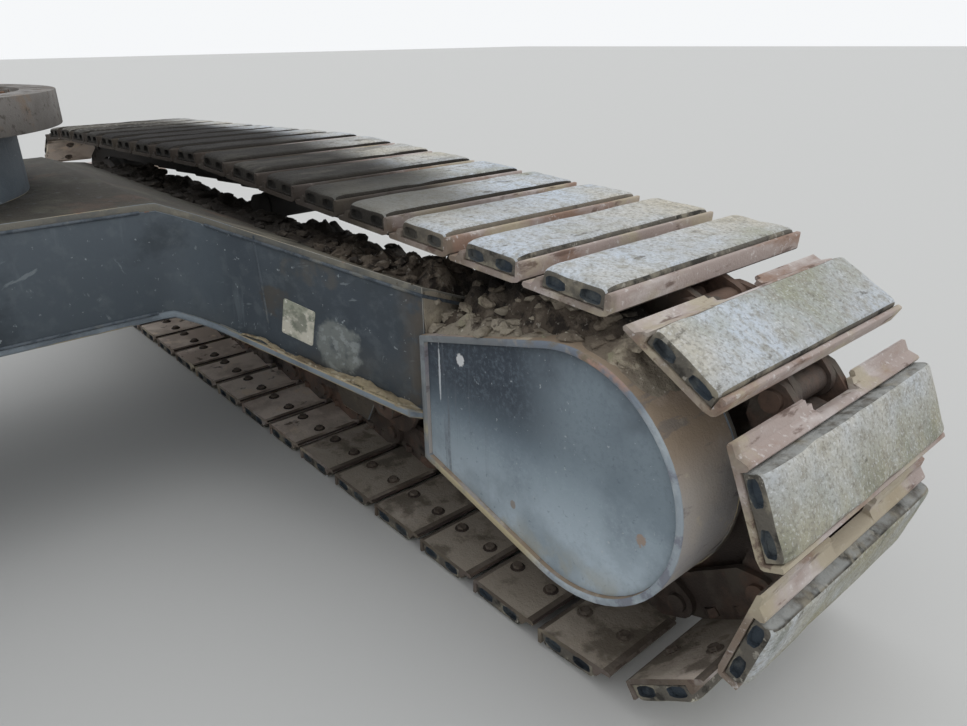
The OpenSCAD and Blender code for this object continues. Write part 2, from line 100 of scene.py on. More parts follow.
def weathered(name, colour, roughness, coats, bumps, metallic=0.0, shine=0.5):
    """A weathered surface: coats of dirt, rust or scuffs, each over the last, on uneven ground.

    A coat sets in between the two levels of its cloud that edge gives. stretch and turn draw the
    cloud out. x, z, out and up keep the coat to a part of the machine, by the place along it, the
    height, the distance from the middle plane, or how far the surface faces up: each is the value
    where the coat starts and the one where it is full. spot is a centre and a size, and ragged the
    scale of the spot's outline. bumps are the scale and the height of each kind of unevenness.
    """
    material = bpy.data.materials.new(name)
    material.use_nodes = True
    tree = material.node_tree
    shader = tree.nodes["Principled BSDF"]
    shader.inputs["Metallic"].default_value = metallic
    shader.inputs["Specular IOR Level"].default_value = shine

    def add(kind, options=None, **sockets):
        made = tree.nodes.new("ShaderNode" + kind)
        for key, value in (options or {}).items():
            setattr(made, key, value)
        for key, value in sockets.items():
            socket = made.inputs[int(key[1:])] if key[0] == "i" and key[1:].isdigit() else made.inputs[key]
            if isinstance(value, bpy.types.NodeSocket):
                tree.links.new(value, socket)
            else:
                socket.default_value = value
        return made

    def ramp(value, start, full):
        return add("MapRange", {"interpolation_type": "SMOOTHSTEP"}, i0=value, i1=start, i2=full).outputs[0]

    def times(a, b):
        return add("Math", {"operation": "MULTIPLY"}, i0=a, i1=b).outputs[0]

    def mixed(kind, a, b, amount):
        made = tree.nodes.new("ShaderNodeMix")
        made.data_type = kind
        first = 6 if kind == "RGBA" else 2
        for index, value in ((0, amount), (first, a), (first + 1, b)):
            if isinstance(value, bpy.types.NodeSocket):
                tree.links.new(value, made.inputs[index])
            else:
                made.inputs[index].default_value = value
        return made.outputs[2 if kind == "RGBA" else 0]

    place = add("TexCoord").outputs["Object"]
    axes = add("SeparateXYZ", Vector=place).outputs
    measures = {
        "up": add("SeparateXYZ", Vector=add("NewGeometry").outputs["Normal"]).outputs["Z"],
        "x": axes["X"],
        "z": axes["Z"],
        "out": add("Math", {"operation": "ABSOLUTE"}, i0=axes["Y"]).outputs[0],
    }
    for index, coat in enumerate(coats):
        shift = index * 1.7
        turned = coat.get("turn", (0, 0, 0))
        where = add("Mapping", Vector=place, Location=(shift, shift, shift), Rotation=turned)
        where = add("Mapping", Vector=where.outputs[0], Scale=coat.get("stretch", (1, 1, 1)))
        cloud = add("TexNoise", Vector=where.outputs[0], Scale=coat["scale"], Detail=5, Roughness=0.6)
        mask = ramp(cloud.outputs["Fac"], *coat["edge"])
        for key, measure in measures.items():
            if key in coat:
                mask = times(mask, ramp(measure, *coat[key]))
        if "spot" in coat:
            centre, size = coat["spot"]
            scaled = add("Mapping", Vector=place, Scale=tuple(1 / s for s in size),
                         Location=tuple(-c / s for c, s in zip(centre, size))).outputs[0]
            reach = add("VectorMath", {"operation": "LENGTH"}, i0=scaled).outputs["Value"]
            ragged = add("TexNoise", Vector=place, Scale=coat.get("ragged", 30), Detail=4).outputs["Fac"]
            reach = add("Math", {"operation": "ADD"}, i0=reach, i1=ragged).outputs[0]
            mask = times(mask, ramp(reach, 1.5, 1.25))
        mask = times(mask, coat.get("strength", 1.0))
        colour = mixed("RGBA", colour, coat["colour"], mask)
        roughness = mixed("FLOAT", roughness, coat.get("rough", 0.85), mask)
    tree.links.new(colour, shader.inputs["Base Color"])
    tree.links.new(roughness, shader.inputs["Roughness"])
    normal = None
    for scale, height in bumps:
        cloud = add("TexNoise", Vector=place, Scale=scale, Detail=4, Roughness=0.65).outputs["Fac"]
        bump = add("Bump", Height=cloud, Distance=height)
        if normal:
            tree.links.new(normal, bump.inputs["Normal"])
        normal = bump.outputs["Normal"]
    tree.links.new(normal, shader.inputs["Normal"])
    return material


def place_piece(name, bm, materials, body="undercarriage", smooth=35):
    """Turns a finished bmesh into a piece that rides on a body."""
    mesh = bpy.data.meshes.new(name)
    bm.to_mesh(mesh)
    bm.free()
    for material in materials:
        mesh.materials.append(material)
    mesh.shade_smooth()
    mesh.set_sharp_from_angle(angle=math.radians(smooth))
    piece = bpy.data.objects.new(name, mesh)
    scene.collection.objects.link(piece)
    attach(piece, body)
    return piece


def merged_copy(node):
    """A copy of a CAD solid's mesh, with its loose triangles joined into whole faces."""
    bm = bmesh.new()
    bm.from_mesh(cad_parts[node].data)
    bmesh.ops.remove_doubles(bm, verts=bm.verts, dist=0.00002)
    bmesh.ops.dissolve_limit(bm, angle_limit=0.01, verts=bm.verts, edges=bm.edges)
    return bm


def softened(node, width, materials, body="undercarriage", faced=None):
    """The CAD solid with its edges ground off a little. The ground edges take the last material.

    The flat faces that look along faced, or against it, take that material too.
    """
    bm = merged_copy(node)
    for f in bm.faces:
        if faced and abs(f.normal.dot(Vector(faced))) > 0.9:
            f.material_index = len(materials) - 1
    sharp = [e for e in bm.edges if len(e.link_faces) == 2 and e.calc_face_angle() > 0.5]
    bmesh.ops.bevel(bm, geom=sharp, offset=width, offset_type="OFFSET", segments=2, profile=0.5,
                    affect="EDGES", clamp_overlap=True, material=len(materials) - 1)
    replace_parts(place_piece(node + "_dressed", bm, materials, body), node)


web_paint = weathered("web_paint", tone(72, 81, 89), 0.58, [
    dict(colour=tone(94, 104, 112), scale=2.6, edge=(0.46, 0.7), strength=0.5),
    dict(colour=tone(52, 59, 65), scale=5.5, edge=(0.54, 0.7), strength=0.7),
    dict(colour=tone(60, 62, 56), scale=4, edge=(0.4, 0.6), x=(-0.62, -0.72), z=(0.42, 0.55), strength=0.7),
    dict(colour=tone(60, 68, 76), scale=6, edge=(0.1, 0.5), x=(-0.5, -0.6), strength=0.75),
    dict(colour=tone(106, 115, 121), scale=15, edge=(0.6, 0.72), stretch=(1.6, 1.6, 0.25), strength=0.45),
    dict(colour=tone(98, 106, 111), scale=26, edge=(0.5, 0.68), strength=0.35),
    dict(colour=tone(146, 153, 157), scale=80, edge=(0.655, 0.71), strength=0.85),
    dict(colour=tone(120, 128, 132), scale=44, edge=(0.66, 0.71), stretch=(0.2, 0.2, 1), turn=(0.5, 0, 0.4),
         strength=0.7),
    dict(colour=tone(124, 132, 136), scale=40, edge=(0.67, 0.72), stretch=(1, 1, 0.16), turn=(0.5, 0.3, 0),
         strength=0.7),
    dict(colour=tone(96, 92, 82), scale=7, edge=(0.42, 0.62), z=(0.5, 0.34), strength=0.5),
    dict(colour=tone(78, 74, 68), scale=12, edge=(0.36, 0.56),
         spot=((-0.685, -0.63, 0.515), (0.045, 0.09, 0.04)),
         strength=0.8),
    dict(colour=tone(92, 88, 80), scale=18, edge=(0.4, 0.6), spot=((-0.79, -0.66, 0.59), (0.09, 0.09, 0.03)),
         strength=0.5),
    dict(colour=tone(126, 131, 128), scale=20, edge=(0.3, 0.5),
         spot=((-0.828, -0.68, 0.445), (0.060, 0.07, 0.064)),
         strength=0.8),
    dict(colour=tone(150, 156, 156), scale=60, edge=(0.5, 0.62),
         spot=((-0.828, -0.68, 0.445), (0.056, 0.07, 0.060)),
         strength=0.6),
    dict(colour=tone(88, 80, 70), scale=14, edge=(0.44, 0.58), x=(-0.95, -1.02), strength=0.8),
    dict(colour=tone(132, 122, 102), scale=9, edge=(0.3, 0.5), up=(0.3, 0.8)),
], bumps=((420, 0.0005), (35, 0.0014)))
top_plate_paint_and_shade = weathered("top_plate_paint_and_shade", tone(112, 109, 100), 0.7, [
    dict(colour=tone(84, 88, 90), scale=7, edge=(0.46, 0.62), strength=0.8),
    dict(colour=tone(134, 130, 118), scale=30, edge=(0.54, 0.66), strength=0.7),
    # Painted shade: these four coats darken the plate where it faces up, as shade from above; the third also
    # gives it reddish-brown smears.
    dict(colour=tone(50, 46, 39), scale=5, edge=(0.15, 0.4), up=(0.3, 0.8)),
    dict(colour=tone(64, 62, 52), scale=11, edge=(0.46, 0.66), up=(0.3, 0.8)),
    dict(colour=tone(84, 64, 52), scale=6, edge=(0.54, 0.7), up=(0.3, 0.8), strength=0.6),
    dict(colour=tone(46, 42, 37), scale=30, edge=(0.55, 0.66), up=(0.3, 0.8)),
    dict(colour=tone(108, 103, 90), scale=7, edge=(0.38, 0.58), x=(-0.4, -0.6), up=(0.3, 0.8), strength=0.7),
    dict(colour=tone(92, 98, 102), scale=40, edge=(0.62, 0.7), strength=0.5),
], bumps=((300, 0.0012), (60, 0.002)))
edge_paint = weathered("edge_paint", tone(112, 122, 130), 0.6, [
    dict(colour=tone(158, 146, 122), scale=7, edge=(0.42, 0.58)),
    dict(colour=tone(150, 105, 80), scale=14, edge=(0.62, 0.68)),
    dict(colour=tone(158, 156, 150), scale=10, edge=(0.2, 0.5), x=(-0.62, -0.8), z=(0.5, 0.55), strength=0.7),
], bumps=((300, 0.0008),))
ledge_dust = weathered("ledge_dust", tone(126, 136, 144), 0.7, [
    dict(colour=tone(164, 156, 134), scale=8, edge=(0.2, 0.4), up=(0.3, 0.8)),
    dict(colour=tone(158, 160, 118), scale=20, edge=(0.52, 0.64), up=(0.3, 0.8)),
    dict(colour=tone(96, 104, 112), scale=12, edge=(0.45, 0.62), strength=0.8),
], bumps=((260, 0.0015), (50, 0.002)))
web_edge, plate_edge = 0.002, 0.003
for node in ("car_body_rear_web", "car_body_front_web"):
    softened(node, web_edge, [web_paint, edge_paint])
softened("car_body_top", plate_edge, [top_plate_paint_and_shade, edge_paint])
softened("car_body_bottom", plate_edge, [ledge_dust, edge_paint])
softened("ring_seat", web_edge, [web_paint, edge_paint])

# Welds: the webs are welded to the plates above and below with fillets, and the leg's web is
# welded on to the middle one. The beads are painted over with the rest.
weld_paint = weathered("weld_paint", tone(82, 90, 98), 0.6, [
    dict(colour=tone(64, 72, 80), scale=40, edge=(0.45, 0.6)),
    dict(colour=tone(128, 126, 116), scale=12, edge=(0.52, 0.64), strength=0.6),
], bumps=((240, 0.002),))
seam_bead, joint_bead = 0.0035, 0.0025
joint_top, joint_foot = Vector((-0.648, 0.615, 0.645)), Vector((-0.657, 0.6185, 0.452))


def bead(bm, start, stop, radius):
    """A run of weld between two points, half sunk in the corner that it fills."""
    lie = (stop - start).to_track_quat("Z", "Y").to_matrix().to_4x4()
    middle = Matrix.Translation((start + stop) / 2)
    bmesh.ops.create_cone(bm, cap_ends=True, segments=8, radius1=radius, radius2=radius,
                          depth=(stop - start).length + radius, matrix=middle @ lie)


for end, away in (("rear", -1), ("front", 1)):
    web = merged_copy(f"car_body_{end}_web")
    welds = bmesh.new()
    for seam in web.edges:
        if len(seam.link_faces) == 2 and seam.calc_length() > 0.03:
            flat = [f for f in seam.link_faces if abs(f.normal.z) > 0.7]
            upright = [f for f in seam.link_faces if abs(f.normal.z) < 0.2 and f.normal.x * away > 0.05]
            if flat and upright:
                bead(welds, seam.verts[0].co, seam.verts[1].co, seam_bead)
    web.free()
    if end == "rear":
        for sign in (-1, 1):
            sided = Matrix.Diagonal((1, sign, 1))
            bead(welds, sided @ joint_top, sided @ joint_foot, joint_bead)
    place_piece(f"{end}_web_welds", welds, [weld_paint], smooth=50)

# Label plate: a thin blank aluminium plate held on the right-hand rear leg's web by four rivets.
# It has gone dull and dusty.
label_metal = weathered("label_metal", tone(206, 202, 188), 0.5, [
    dict(colour=tone(160, 162, 146), scale=26, edge=(0.46, 0.62)),
    dict(colour=tone(132, 136, 122), scale=40, edge=(0.54, 0.66)),
    dict(colour=tone(116, 120, 108), scale=30, edge=(0.36, 0.5), ragged=60,
         spot=((-0.737, -0.646, 0.484), (0.027, 0.03, 0.030)), strength=0.8),
    dict(colour=tone(224, 222, 212), scale=60, edge=(0.6, 0.7)),
], bumps=((400, 0.0004),))
top_left, top_right = Vector((-0.704, -0.634, 0.531)), Vector((-0.779, -0.661, 0.511))
low_right, low_left = Vector((-0.767, -0.657, 0.435)), Vector((-0.692, -0.630, 0.450))
label_middle = (top_left + top_right + low_right + low_left) / 4
label_along = (top_right - top_left + low_right - low_left).normalized()
label_out = label_along.cross(Vector((0, 0, 1))).normalized()
label_up = label_out.cross(label_along).normalized()
label_half_width, label_half_height, label_thickness = 0.040, 0.038, 0.0025
label_corner, label_sunk = 0.004, 0.0008
rivet_inset, rivet_height, rivet_foot, rivet_top = 0.006, 0.003, 0.0032, 0.0018
label = bmesh.new()
corners = [label.verts.new((sx * label_half_width, sz * label_half_height, 0))
           for sx, sz in ((-1, -1), (1, -1), (1, 1), (-1, 1))]
label.faces.new(corners)
bmesh.ops.bevel(label, geom=corners, offset=label_corner, segments=3, profile=0.5, affect="VERTICES",
                material=-1)
raised = bmesh.ops.extrude_face_region(label, geom=label.faces[:])["geom"]
raised = [v for v in raised if isinstance(v, bmesh.types.BMVert)]
bmesh.ops.translate(label, verts=raised, vec=(0, 0, label_thickness))
for sx in (-1, 1):
    for sz in (-1, 1):
        rivet_place = (sx * (label_half_width - rivet_inset), sz * (label_half_height - rivet_inset),
                       label_thickness + rivet_height / 3)
        bmesh.ops.create_cone(label, cap_ends=True, segments=10, radius1=rivet_foot, radius2=rivet_top,
                              depth=rivet_height, matrix=Matrix.Translation(rivet_place))
label_lie = Matrix((label_along, label_up, label_out)).transposed().to_4x4()
label_seat = Matrix.Translation(label_middle - label_out * label_sunk)
bmesh.ops.transform(label, matrix=label_seat @ label_lie, verts=label.verts)
bmesh.ops.recalc_face_normals(label, faces=label.faces)
place_piece("label_plate", label, [label_metal])

# Motor guards: a bent band of thick plate round the travel motor, closed by a cover plate that
# lies a little inside its rim. The cover is scratched, and the rim shows dust and rust.
cover_paint = weathered("cover_paint", tone(62, 71, 81), 0.48, [
    # Painted light and shade: this coat and the next three make the cover lighter towards its foot and its
    # rear end and darker at its top, over a little dust.
    dict(colour=tone(110, 125, 136), scale=3.5, edge=(0.1, 0.3), z=(0.47, 0.35)),
    dict(colour=tone(134, 148, 157), scale=3.5, edge=(0.1, 0.3), x=(-1.24, -1.4), strength=0.8),
    dict(colour=tone(182, 196, 206), scale=4, edge=(0.1, 0.3), z=(0.42, 0.25), strength=0.95),
    dict(colour=tone(62, 68, 78), scale=5, edge=(0.46, 0.64), z=(0.4, 0.54), strength=0.6),
    dict(colour=tone(100, 113, 123), scale=7, edge=(0.45, 0.7), strength=0.45),
    # Painted light: pale flecks towards the foot.
    dict(colour=tone(160, 172, 180), scale=38, edge=(0.5, 0.7), z=(0.38, 0.24), strength=0.35),
    dict(colour=tone(112, 118, 126), scale=34, edge=(0.56, 0.66), stretch=(2.2, 1, 0.08),
         x=(-1.22, -1.1), strength=0.75),
    dict(colour=tone(190, 196, 200), scale=110, edge=(0.66, 0.71), strength=0.6),
    dict(colour=tone(84, 96, 108), scale=90, edge=(0.62, 0.68), strength=0.35),
    # Painted light and shade: these two coats darken the upper part a little and lighten the foot.
    dict(colour=tone(106, 118, 128), scale=150, edge=(0.46, 0.68), z=(0.36, 0.46), strength=0.5),
    dict(colour=tone(160, 174, 184), scale=150, edge=(0.46, 0.68), z=(0.42, 0.3), strength=0.5),
    dict(colour=tone(158, 142, 130), scale=60, edge=(0.4, 0.5), ragged=140,
         spot=((-1.518, -0.743, 0.339), (0.010, 0.05, 0.012))),
    dict(colour=tone(150, 144, 138), scale=60, edge=(0.4, 0.5), ragged=140,
         spot=((-1.254, -0.743, 0.267), (0.008, 0.05, 0.009))),
    dict(colour=tone(216, 218, 218), scale=8, edge=(0.1, 0.2), ragged=160,
         spot=((-1.122, -0.743, 0.493), (0.011, 0.05, 0.013))),
    dict(colour=tone(196, 201, 205), scale=30, edge=(0.3, 0.45), ragged=120,
         spot=((-1.063, -0.743, 0.45), (0.003, 0.05, 0.062))),
    dict(colour=tone(170, 168, 154), scale=12, edge=(0.45, 0.6), z=(0.27, 0.2), strength=0.6),
], bumps=((500, 0.0004), (90, 0.0006)))
# The band's ground colour is made pale to paint the sheen of sky on it: a painted reflection, under its dust
# and dirt.
band_paint_and_sheen = weathered("band_paint_and_sheen", tone(160, 157, 156), 0.5, [
    dict(colour=tone(176, 168, 160), scale=5, edge=(0.4, 0.62)),
    dict(colour=tone(142, 137, 148), scale=10, edge=(0.5, 0.64), stretch=(1, 0.4, 1)),
    dict(colour=tone(172, 152, 134), scale=7, edge=(0.3, 0.5), z=(0.48, 0.58)),
    dict(colour=tone(142, 126, 108), scale=9, edge=(0.3, 0.5), up=(0.2, 0.6)),
    dict(colour=tone(190, 180, 160), scale=26, edge=(0.58, 0.7), strength=0.8),
    dict(colour=tone(108, 104, 102), scale=40, edge=(0.58, 0.66), stretch=(1, 0.25, 1), strength=0.6),
], bumps=((260, 0.0012), (45, 0.002)))
rim_paint = weathered("rim_paint", tone(150, 160, 168), 0.5, [
    dict(colour=tone(184, 192, 196), scale=16, edge=(0.46, 0.64), strength=0.8),
    dict(colour=tone(112, 112, 124), scale=22, edge=(0.52, 0.62), strength=0.7),
    dict(colour=tone(112, 120, 132), scale=5, edge=(0.1, 0.4), z=(0.5, 0.58), strength=0.85),
    dict(colour=tone(168, 158, 142), scale=26, edge=(0.5, 0.62), z=(0.52, 0.58), strength=0.8),
    dict(colour=tone(110, 112, 112), scale=6, edge=(0.2, 0.5), x=(-1.3, -1.2), strength=0.7),
    dict(colour=tone(178, 142, 122), scale=20, edge=(0.42, 0.58),
         spot=((-1.44, -0.74, 0.55), (0.08, 0.1, 0.06)),
         strength=0.8),
    dict(colour=tone(176, 164, 134), scale=9, edge=(0.3, 0.45), z=(0.36, 0.3), x=(-1.36, -1.28)),
    dict(colour=tone(126, 116, 98), scale=16, edge=(0.5, 0.6), z=(0.57, 0.59)),
], bumps=((300, 0.001),))
guard_edge, cover_edge = 0.0025, 0.001
for side_name in ("right", "left"):
    softened(side_name + "_motor_guard", guard_edge, [band_paint_and_sheen, rim_paint], faced=(0, 1, 0))
    softened(side_name + "_guard_cover", cover_edge, [cover_paint, rim_paint])

# Side frames: welded boxes with a sloping roof, open below over the rollers. The inner wall runs
# on behind the motor guard. They are painted as the car body is, and muddy all over.
frame_paint = weathered("frame_paint", tone(70, 76, 82), 0.75, [
    dict(colour=tone(84, 90, 95), scale=3, edge=(0.4, 0.65)),
    dict(colour=tone(98, 90, 80), scale=3, edge=(0.25, 0.75), strength=0.85),
    dict(colour=tone(108, 98, 86), scale=6, edge=(0.2, 0.7), z=(0.42, 0.24), strength=0.9),
    dict(colour=tone(126, 115, 100), scale=38, edge=(0.5, 0.75), z=(0.5, 0.3), strength=0.7),
    dict(colour=tone(70, 62, 54), scale=60, edge=(0.56, 0.7), strength=0.6),
    dict(colour=tone(112, 104, 92), scale=9, edge=(0.35, 0.7), stretch=(1, 1, 0.15), strength=0.5),
    dict(colour=tone(84, 75, 65), scale=7, edge=(0.2, 0.5), up=(0.3, 0.8)),
], bumps=((220, 0.002), (40, 0.003)), shine=0.3)
for side_name in ("right", "left"):
    for part in ("side_frame", "drive_mount", "track_guides"):
        softened(f"{side_name}_{part}", web_edge, [frame_paint, edge_paint])

# Chains: forty-two links a side, each with two cranked rails, a pin and a bushing, all forged
# steel that rusts where nothing rubs on it. The shoes are bolted to them from outside.
gauge_half = 0.995
pitch_length = 0.1715
shoe_count = 42
turn_pitches = 9.5
pin_radius = pitch_length / 2 / math.sin(math.pi / turn_pitches)
half_span = (shoe_count - turn_pitches) * pitch_length / 4
pin_low = 0.084
axle_height = pin_low + pin_radius
carrier_x, carrier_rise = -0.06, 0.045
first_pin = 0.2546
front = Vector((half_span, 0, axle_height + pin_radius))
peak = Vector((carrier_x, 0, axle_height + pin_radius + carrier_rise))
rear = Vector((-half_span, 0, axle_height + pin_radius))
half_turn, low_run = turn_pitches / 2, 2 * half_span / pitch_length
front_slope, rear_slope = (peak - front).length / pitch_length, (peak - rear).length / pitch_length
loop_pitches = turn_pitches + low_run + front_slope + rear_slope


def path_point(pitches):
    """Place on the pin line, so many pitches on from the top of the sprocket, rearwards first."""
    if pitches < half_turn:
        angle = pitches * math.pi / half_turn
        reach, rise = pin_radius * math.sin(angle), pin_radius * math.cos(angle)
        return Vector((-half_span - reach, 0, axle_height + rise))
    pitches -= half_turn
    if pitches < low_run:
        return Vector((-half_span + pitches * pitch_length, 0, pin_low))
    pitches -= low_run
    if pitches < half_turn:
        angle = pitches * math.pi / half_turn
        reach, rise = pin_radius * math.sin(angle), pin_radius * math.cos(angle)
        return Vector((half_span + reach, 0, axle_height - rise))
    pitches -= half_turn
    if pitches < front_slope:
        return front.lerp(peak, pitches / front_slope)
    return peak.lerp(rear, (pitches - front_slope) / rear_slope)


pins = [path_point((i + first_pin) * loop_pitches / shoe_count) for i in range(shoe_count)]


def link_place(i):
    """Frame of a link: first axis along the track, third axis away from the pin line."""
    pin, next_pin = pins[i], pins[(i + 1) % shoe_count]
    along = (next_pin - pin).normalized()
    out = Vector((along.z, 0, -along.x))
    lie = Matrix((along, out.cross(along), out)).transposed().to_4x4()
    return Matrix.Translation((pin + next_pin) / 2) @ lie


def along_track(name, shape, materials, replaced, smooth=35, wear=None):
    """Copies one link's shape along both tracks and joins each track's copies in one piece."""
    mesh = bpy.data.meshes.new("pattern")
    shape.to_mesh(mesh)
    shape.free()
    for side_name, y in (("right", -gauge_half), ("left", gauge_half)):
        whole = bmesh.new()
        for i in range(shoe_count):
            before = len(whole.verts)
            whole.from_mesh(mesh)
            whole.verts.ensure_lookup_table()
            if wear:
                for v in whole.verts[before:]:
                    v.co = wear(v.co, i + 50 * y)
            bmesh.ops.transform(whole, matrix=Matrix.Translation((0, y, 0)) @ link_place(i),
                                verts=whole.verts[before:])
        piece = place_piece(f"{side_name}_{name}", whole, materials, smooth=smooth)
        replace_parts(piece, f"{side_name}_{replaced}")
    bpy.data.meshes.remove(mesh)


def extruded(bm, outline, y0, y1):
    """A bar with an outline along the track and away from it, between two places across."""
    face = bm.faces.new([bm.verts.new((s, y0, h)) for s, h in outline])
    made = bmesh.ops.extrude_face_region(bm, geom=[face])["geom"]
    moved = [v for v in made if isinstance(v, bmesh.types.BMVert)]
    bmesh.ops.translate(bm, verts=moved, vec=(0, y1 - y0, 0))
    walls = {face}.union(f for v in moved for f in v.link_faces)
    bmesh.ops.recalc_face_normals(bm, faces=list(walls))


link_steel_and_shade = weathered("link_steel_and_shade", tone(72, 62, 56), 0.6, [
    dict(colour=tone(120, 96, 82), scale=9, edge=(0.42, 0.6), strength=0.8),
    dict(colour=tone(92, 84, 76), scale=18, edge=(0.5, 0.62)),
    dict(colour=tone(38, 34, 32), scale=6, edge=(0.55, 0.66)),
    # Painted shade: this coat darkens nearly to black all of this steel that stands above the side frames'
    # roofs, forward of the sprocket, for the shade from above.
    dict(colour=tone(32, 31, 30), scale=7, edge=(0.1, 0.4), x=(-1.2, -0.95), z=(0.5, 0.53), strength=0.95,
         rough=0.9),
], bumps=((240, 0.0015),))
half_pitch = pitch_length / 2
rail_inner, rail_outer = 0.042, 0.0565
crank_from, crank_shift = -0.03, 0.0155
bushing, pin = (0.0235, 0.0417), (0.017, 0.079)
bolt_along, bolt_across, bolt_level = 0.03, 0.05742, 0.026
bolt_radius, bolt_length = 0.014, 0.016
rail_shoulder, rail_top, rail_waist, rail_foot, boss_radius = 0.056, 0.0407, 0.07, -0.045, 0.030
links = bmesh.new()


def boss(centre, radius, start, stop, steps=6):
    """Points round the end of a rail, from one angle in degrees to another."""
    angles = [math.radians(start + (stop - start) * k / steps) for k in range(steps + 1)]
    return [(centre + radius * math.cos(angle), radius * math.sin(angle)) for angle in angles]


rail = [(-rail_shoulder, rail_top), (rail_shoulder, rail_top)] + boss(half_pitch, boss_radius, 80, -60)
rail += [(rail_waist, rail_foot), (-rail_waist, rail_foot)] + boss(-half_pitch, boss_radius, 240, 100)
for flip in (-1, 1):
    before = set(links.verts)
    extruded(links, rail, rail_inner, rail_outer)
    made = [v for v in links.verts if v not in before]
    for v in made:
        if v.co.x < crank_from:
            v.co.y += crank_shift
    bmesh.ops.scale(links, vec=(1, flip, 1), verts=made)
for radius, reach in (bushing, pin):
    lie = Matrix.Translation((-half_pitch, 0, 0)) @ Matrix.Rotation(math.pi / 2, 4, "X")
    bmesh.ops.create_cone(links, cap_ends=True, segments=14, radius1=radius, radius2=radius, depth=2 * reach,
                          matrix=lie)
for s in (-bolt_along, bolt_along):
    for y in (-bolt_across, bolt_across):
        bmesh.ops.create_cone(links, cap_ends=True, segments=6, radius1=bolt_radius, radius2=bolt_radius,
                              depth=bolt_length, matrix=Matrix.Translation((s, y, bolt_level)))
bmesh.ops.recalc_face_normals(links, faces=links.faces)
along_track("links", links, [link_steel_and_shade], "chain")

# Track shoes: rolled steel plates. A bar stands up on one side of the pad and a low ridge on the
# other, and the lip past the ridge is notched where it passes the chain. Nuts show on the inside.
shoe_rust_and_shade = weathered("shoe_rust_and_shade", tone(168, 154, 148), 0.65, [
    dict(colour=tone(202, 195, 192), scale=11, edge=(0.46, 0.62), stretch=(1, 0.4, 1), strength=0.9),
    dict(colour=tone(144, 118, 102), scale=14, edge=(0.5, 0.64), stretch=(1, 0.4, 1), strength=0.9),
    dict(colour=tone(124, 113, 101), scale=9, edge=(0.3, 0.55), out=(0.765, 0.752), strength=0.8),
    dict(colour=tone(212, 208, 206), scale=90, edge=(0.58, 0.68), strength=0.6),
    dict(colour=tone(176, 166, 144), scale=6, edge=(0.5, 0.62), strength=0.8),
    dict(colour=tone(104, 86, 78), scale=44, edge=(0.58, 0.68), stretch=(1, 0.3, 1), strength=0.8),
    # Painted shade: the inner part of the upper run's shoes is darkened forward of the sprocket, for the
    # shade from above.
    dict(colour=tone(54, 49, 45), scale=9, edge=(0.15, 0.4), x=(-1.04, -0.8), out=(1.12, 0.94), z=(0.6, 0.63),
         strength=0.92, rough=0.9),
    # Painted shade: the lower run's shoes are darker towards the rear.
    dict(colour=tone(80, 72, 64), scale=6, edge=(0.2, 0.45), x=(-0.4, -0.7), z=(0.2, 0.1), strength=0.8),
], bumps=((240, 0.0012), (50, 0.0015)), shine=0.2)
# The shoes' inner faces are pale, partly dust and partly painted light that lifts the shade over the lower
# run.
shoe_inside_light_and_shade = weathered("shoe_inside_light_and_shade", tone(228, 214, 202), 0.85, [
    dict(colour=tone(190, 174, 162), scale=7, edge=(0.42, 0.62)),
    dict(colour=tone(232, 214, 196), scale=14, edge=(0.55, 0.68)),
    dict(colour=tone(104, 92, 82), scale=22, edge=(0.6, 0.7)),
    # Painted shade: these two coats darken the lower run towards the rear.
    dict(colour=tone(142, 134, 122), scale=3, edge=(0.2, 0.45), x=(-0.28, -0.6), strength=0.9),
    dict(colour=tone(98, 90, 80), scale=12, edge=(0.5, 0.62), x=(-0.28, -0.6), strength=0.8),
], bumps=((200, 0.0018), (40, 0.002)), shine=0.2)
# The shoes' inner margins are pale, partly dust and partly painted light; the last coat darkens the lower run
# towards the rear as painted shade.
shoe_edge_light_and_shade = weathered("shoe_edge_light_and_shade", tone(196, 182, 168), 0.8, [
    dict(colour=tone(112, 98, 86), scale=8, edge=(0.4, 0.6)),
    dict(colour=tone(80, 70, 60), scale=20, edge=(0.58, 0.68)),
    dict(colour=tone(74, 66, 58), scale=4, edge=(0.2, 0.45), x=(-0.3, -0.6), z=(0.3, 0.2), strength=0.85),
], bumps=((200, 0.0018),))
gap_dirt = weathered("gap_dirt", tone(52, 43, 38), 0.9, [
    dict(colour=tone(84, 72, 62), scale=14, edge=(0.5, 0.66)),
    dict(colour=tone(112, 102, 92), scale=9, edge=(0.2, 0.5), z=(0.044, 0.047), strength=0.8),
    dict(colour=tone(70, 60, 52), scale=60, edge=(0.45, 0.62), z=(0.044, 0.047), strength=0.8),
], bumps=((200, 0.0018),))
shoe_half, cut_half, notch_half = 0.25, 0.072, 0.060
inner, outer_face = 0.041, 0.050
pad_start, bar_start, bar_stop = -0.047, 0.0725, 0.0825
lip_start, lip_end = -0.0665, -0.08475
crest = [(pad_start, outer_face), (pad_start - 0.001, 0.0605), (pad_start - 0.0045, 0.0645),
         (pad_start - 0.0085, 0.0635)]
rear_bar = [(0.066, inner), (0.078, 0.0445), (bar_stop, 0.049), (bar_stop, 0.0725),
            (bar_stop - 0.002, 0.0755), (bar_start + 0.002, 0.0755), (bar_start, 0.073),
            (bar_start, outer_face)]
lip = [(lip_start, 0.0505), (lip_end + 0.002, 0.0495), (lip_end, inner + 0.0035), (lip_end + 0.0035, inner),
       (lip_end + 0.016, inner)]
cut_lip = [(lip_start, 0.0505), (-0.075, 0.050), (-0.075, inner)]
notch = [(pad_start - 0.012, 0.058), (pad_start - 0.012, inner)]
washer, nut = (12, 0.0155, 0.0393, 0.0415), (6, 0.0105, 0.0335, 0.0395)
nut_along, nut_across = 0.045, 0.165
outside, inside, margin, dirty = 0, 1, 2, 3
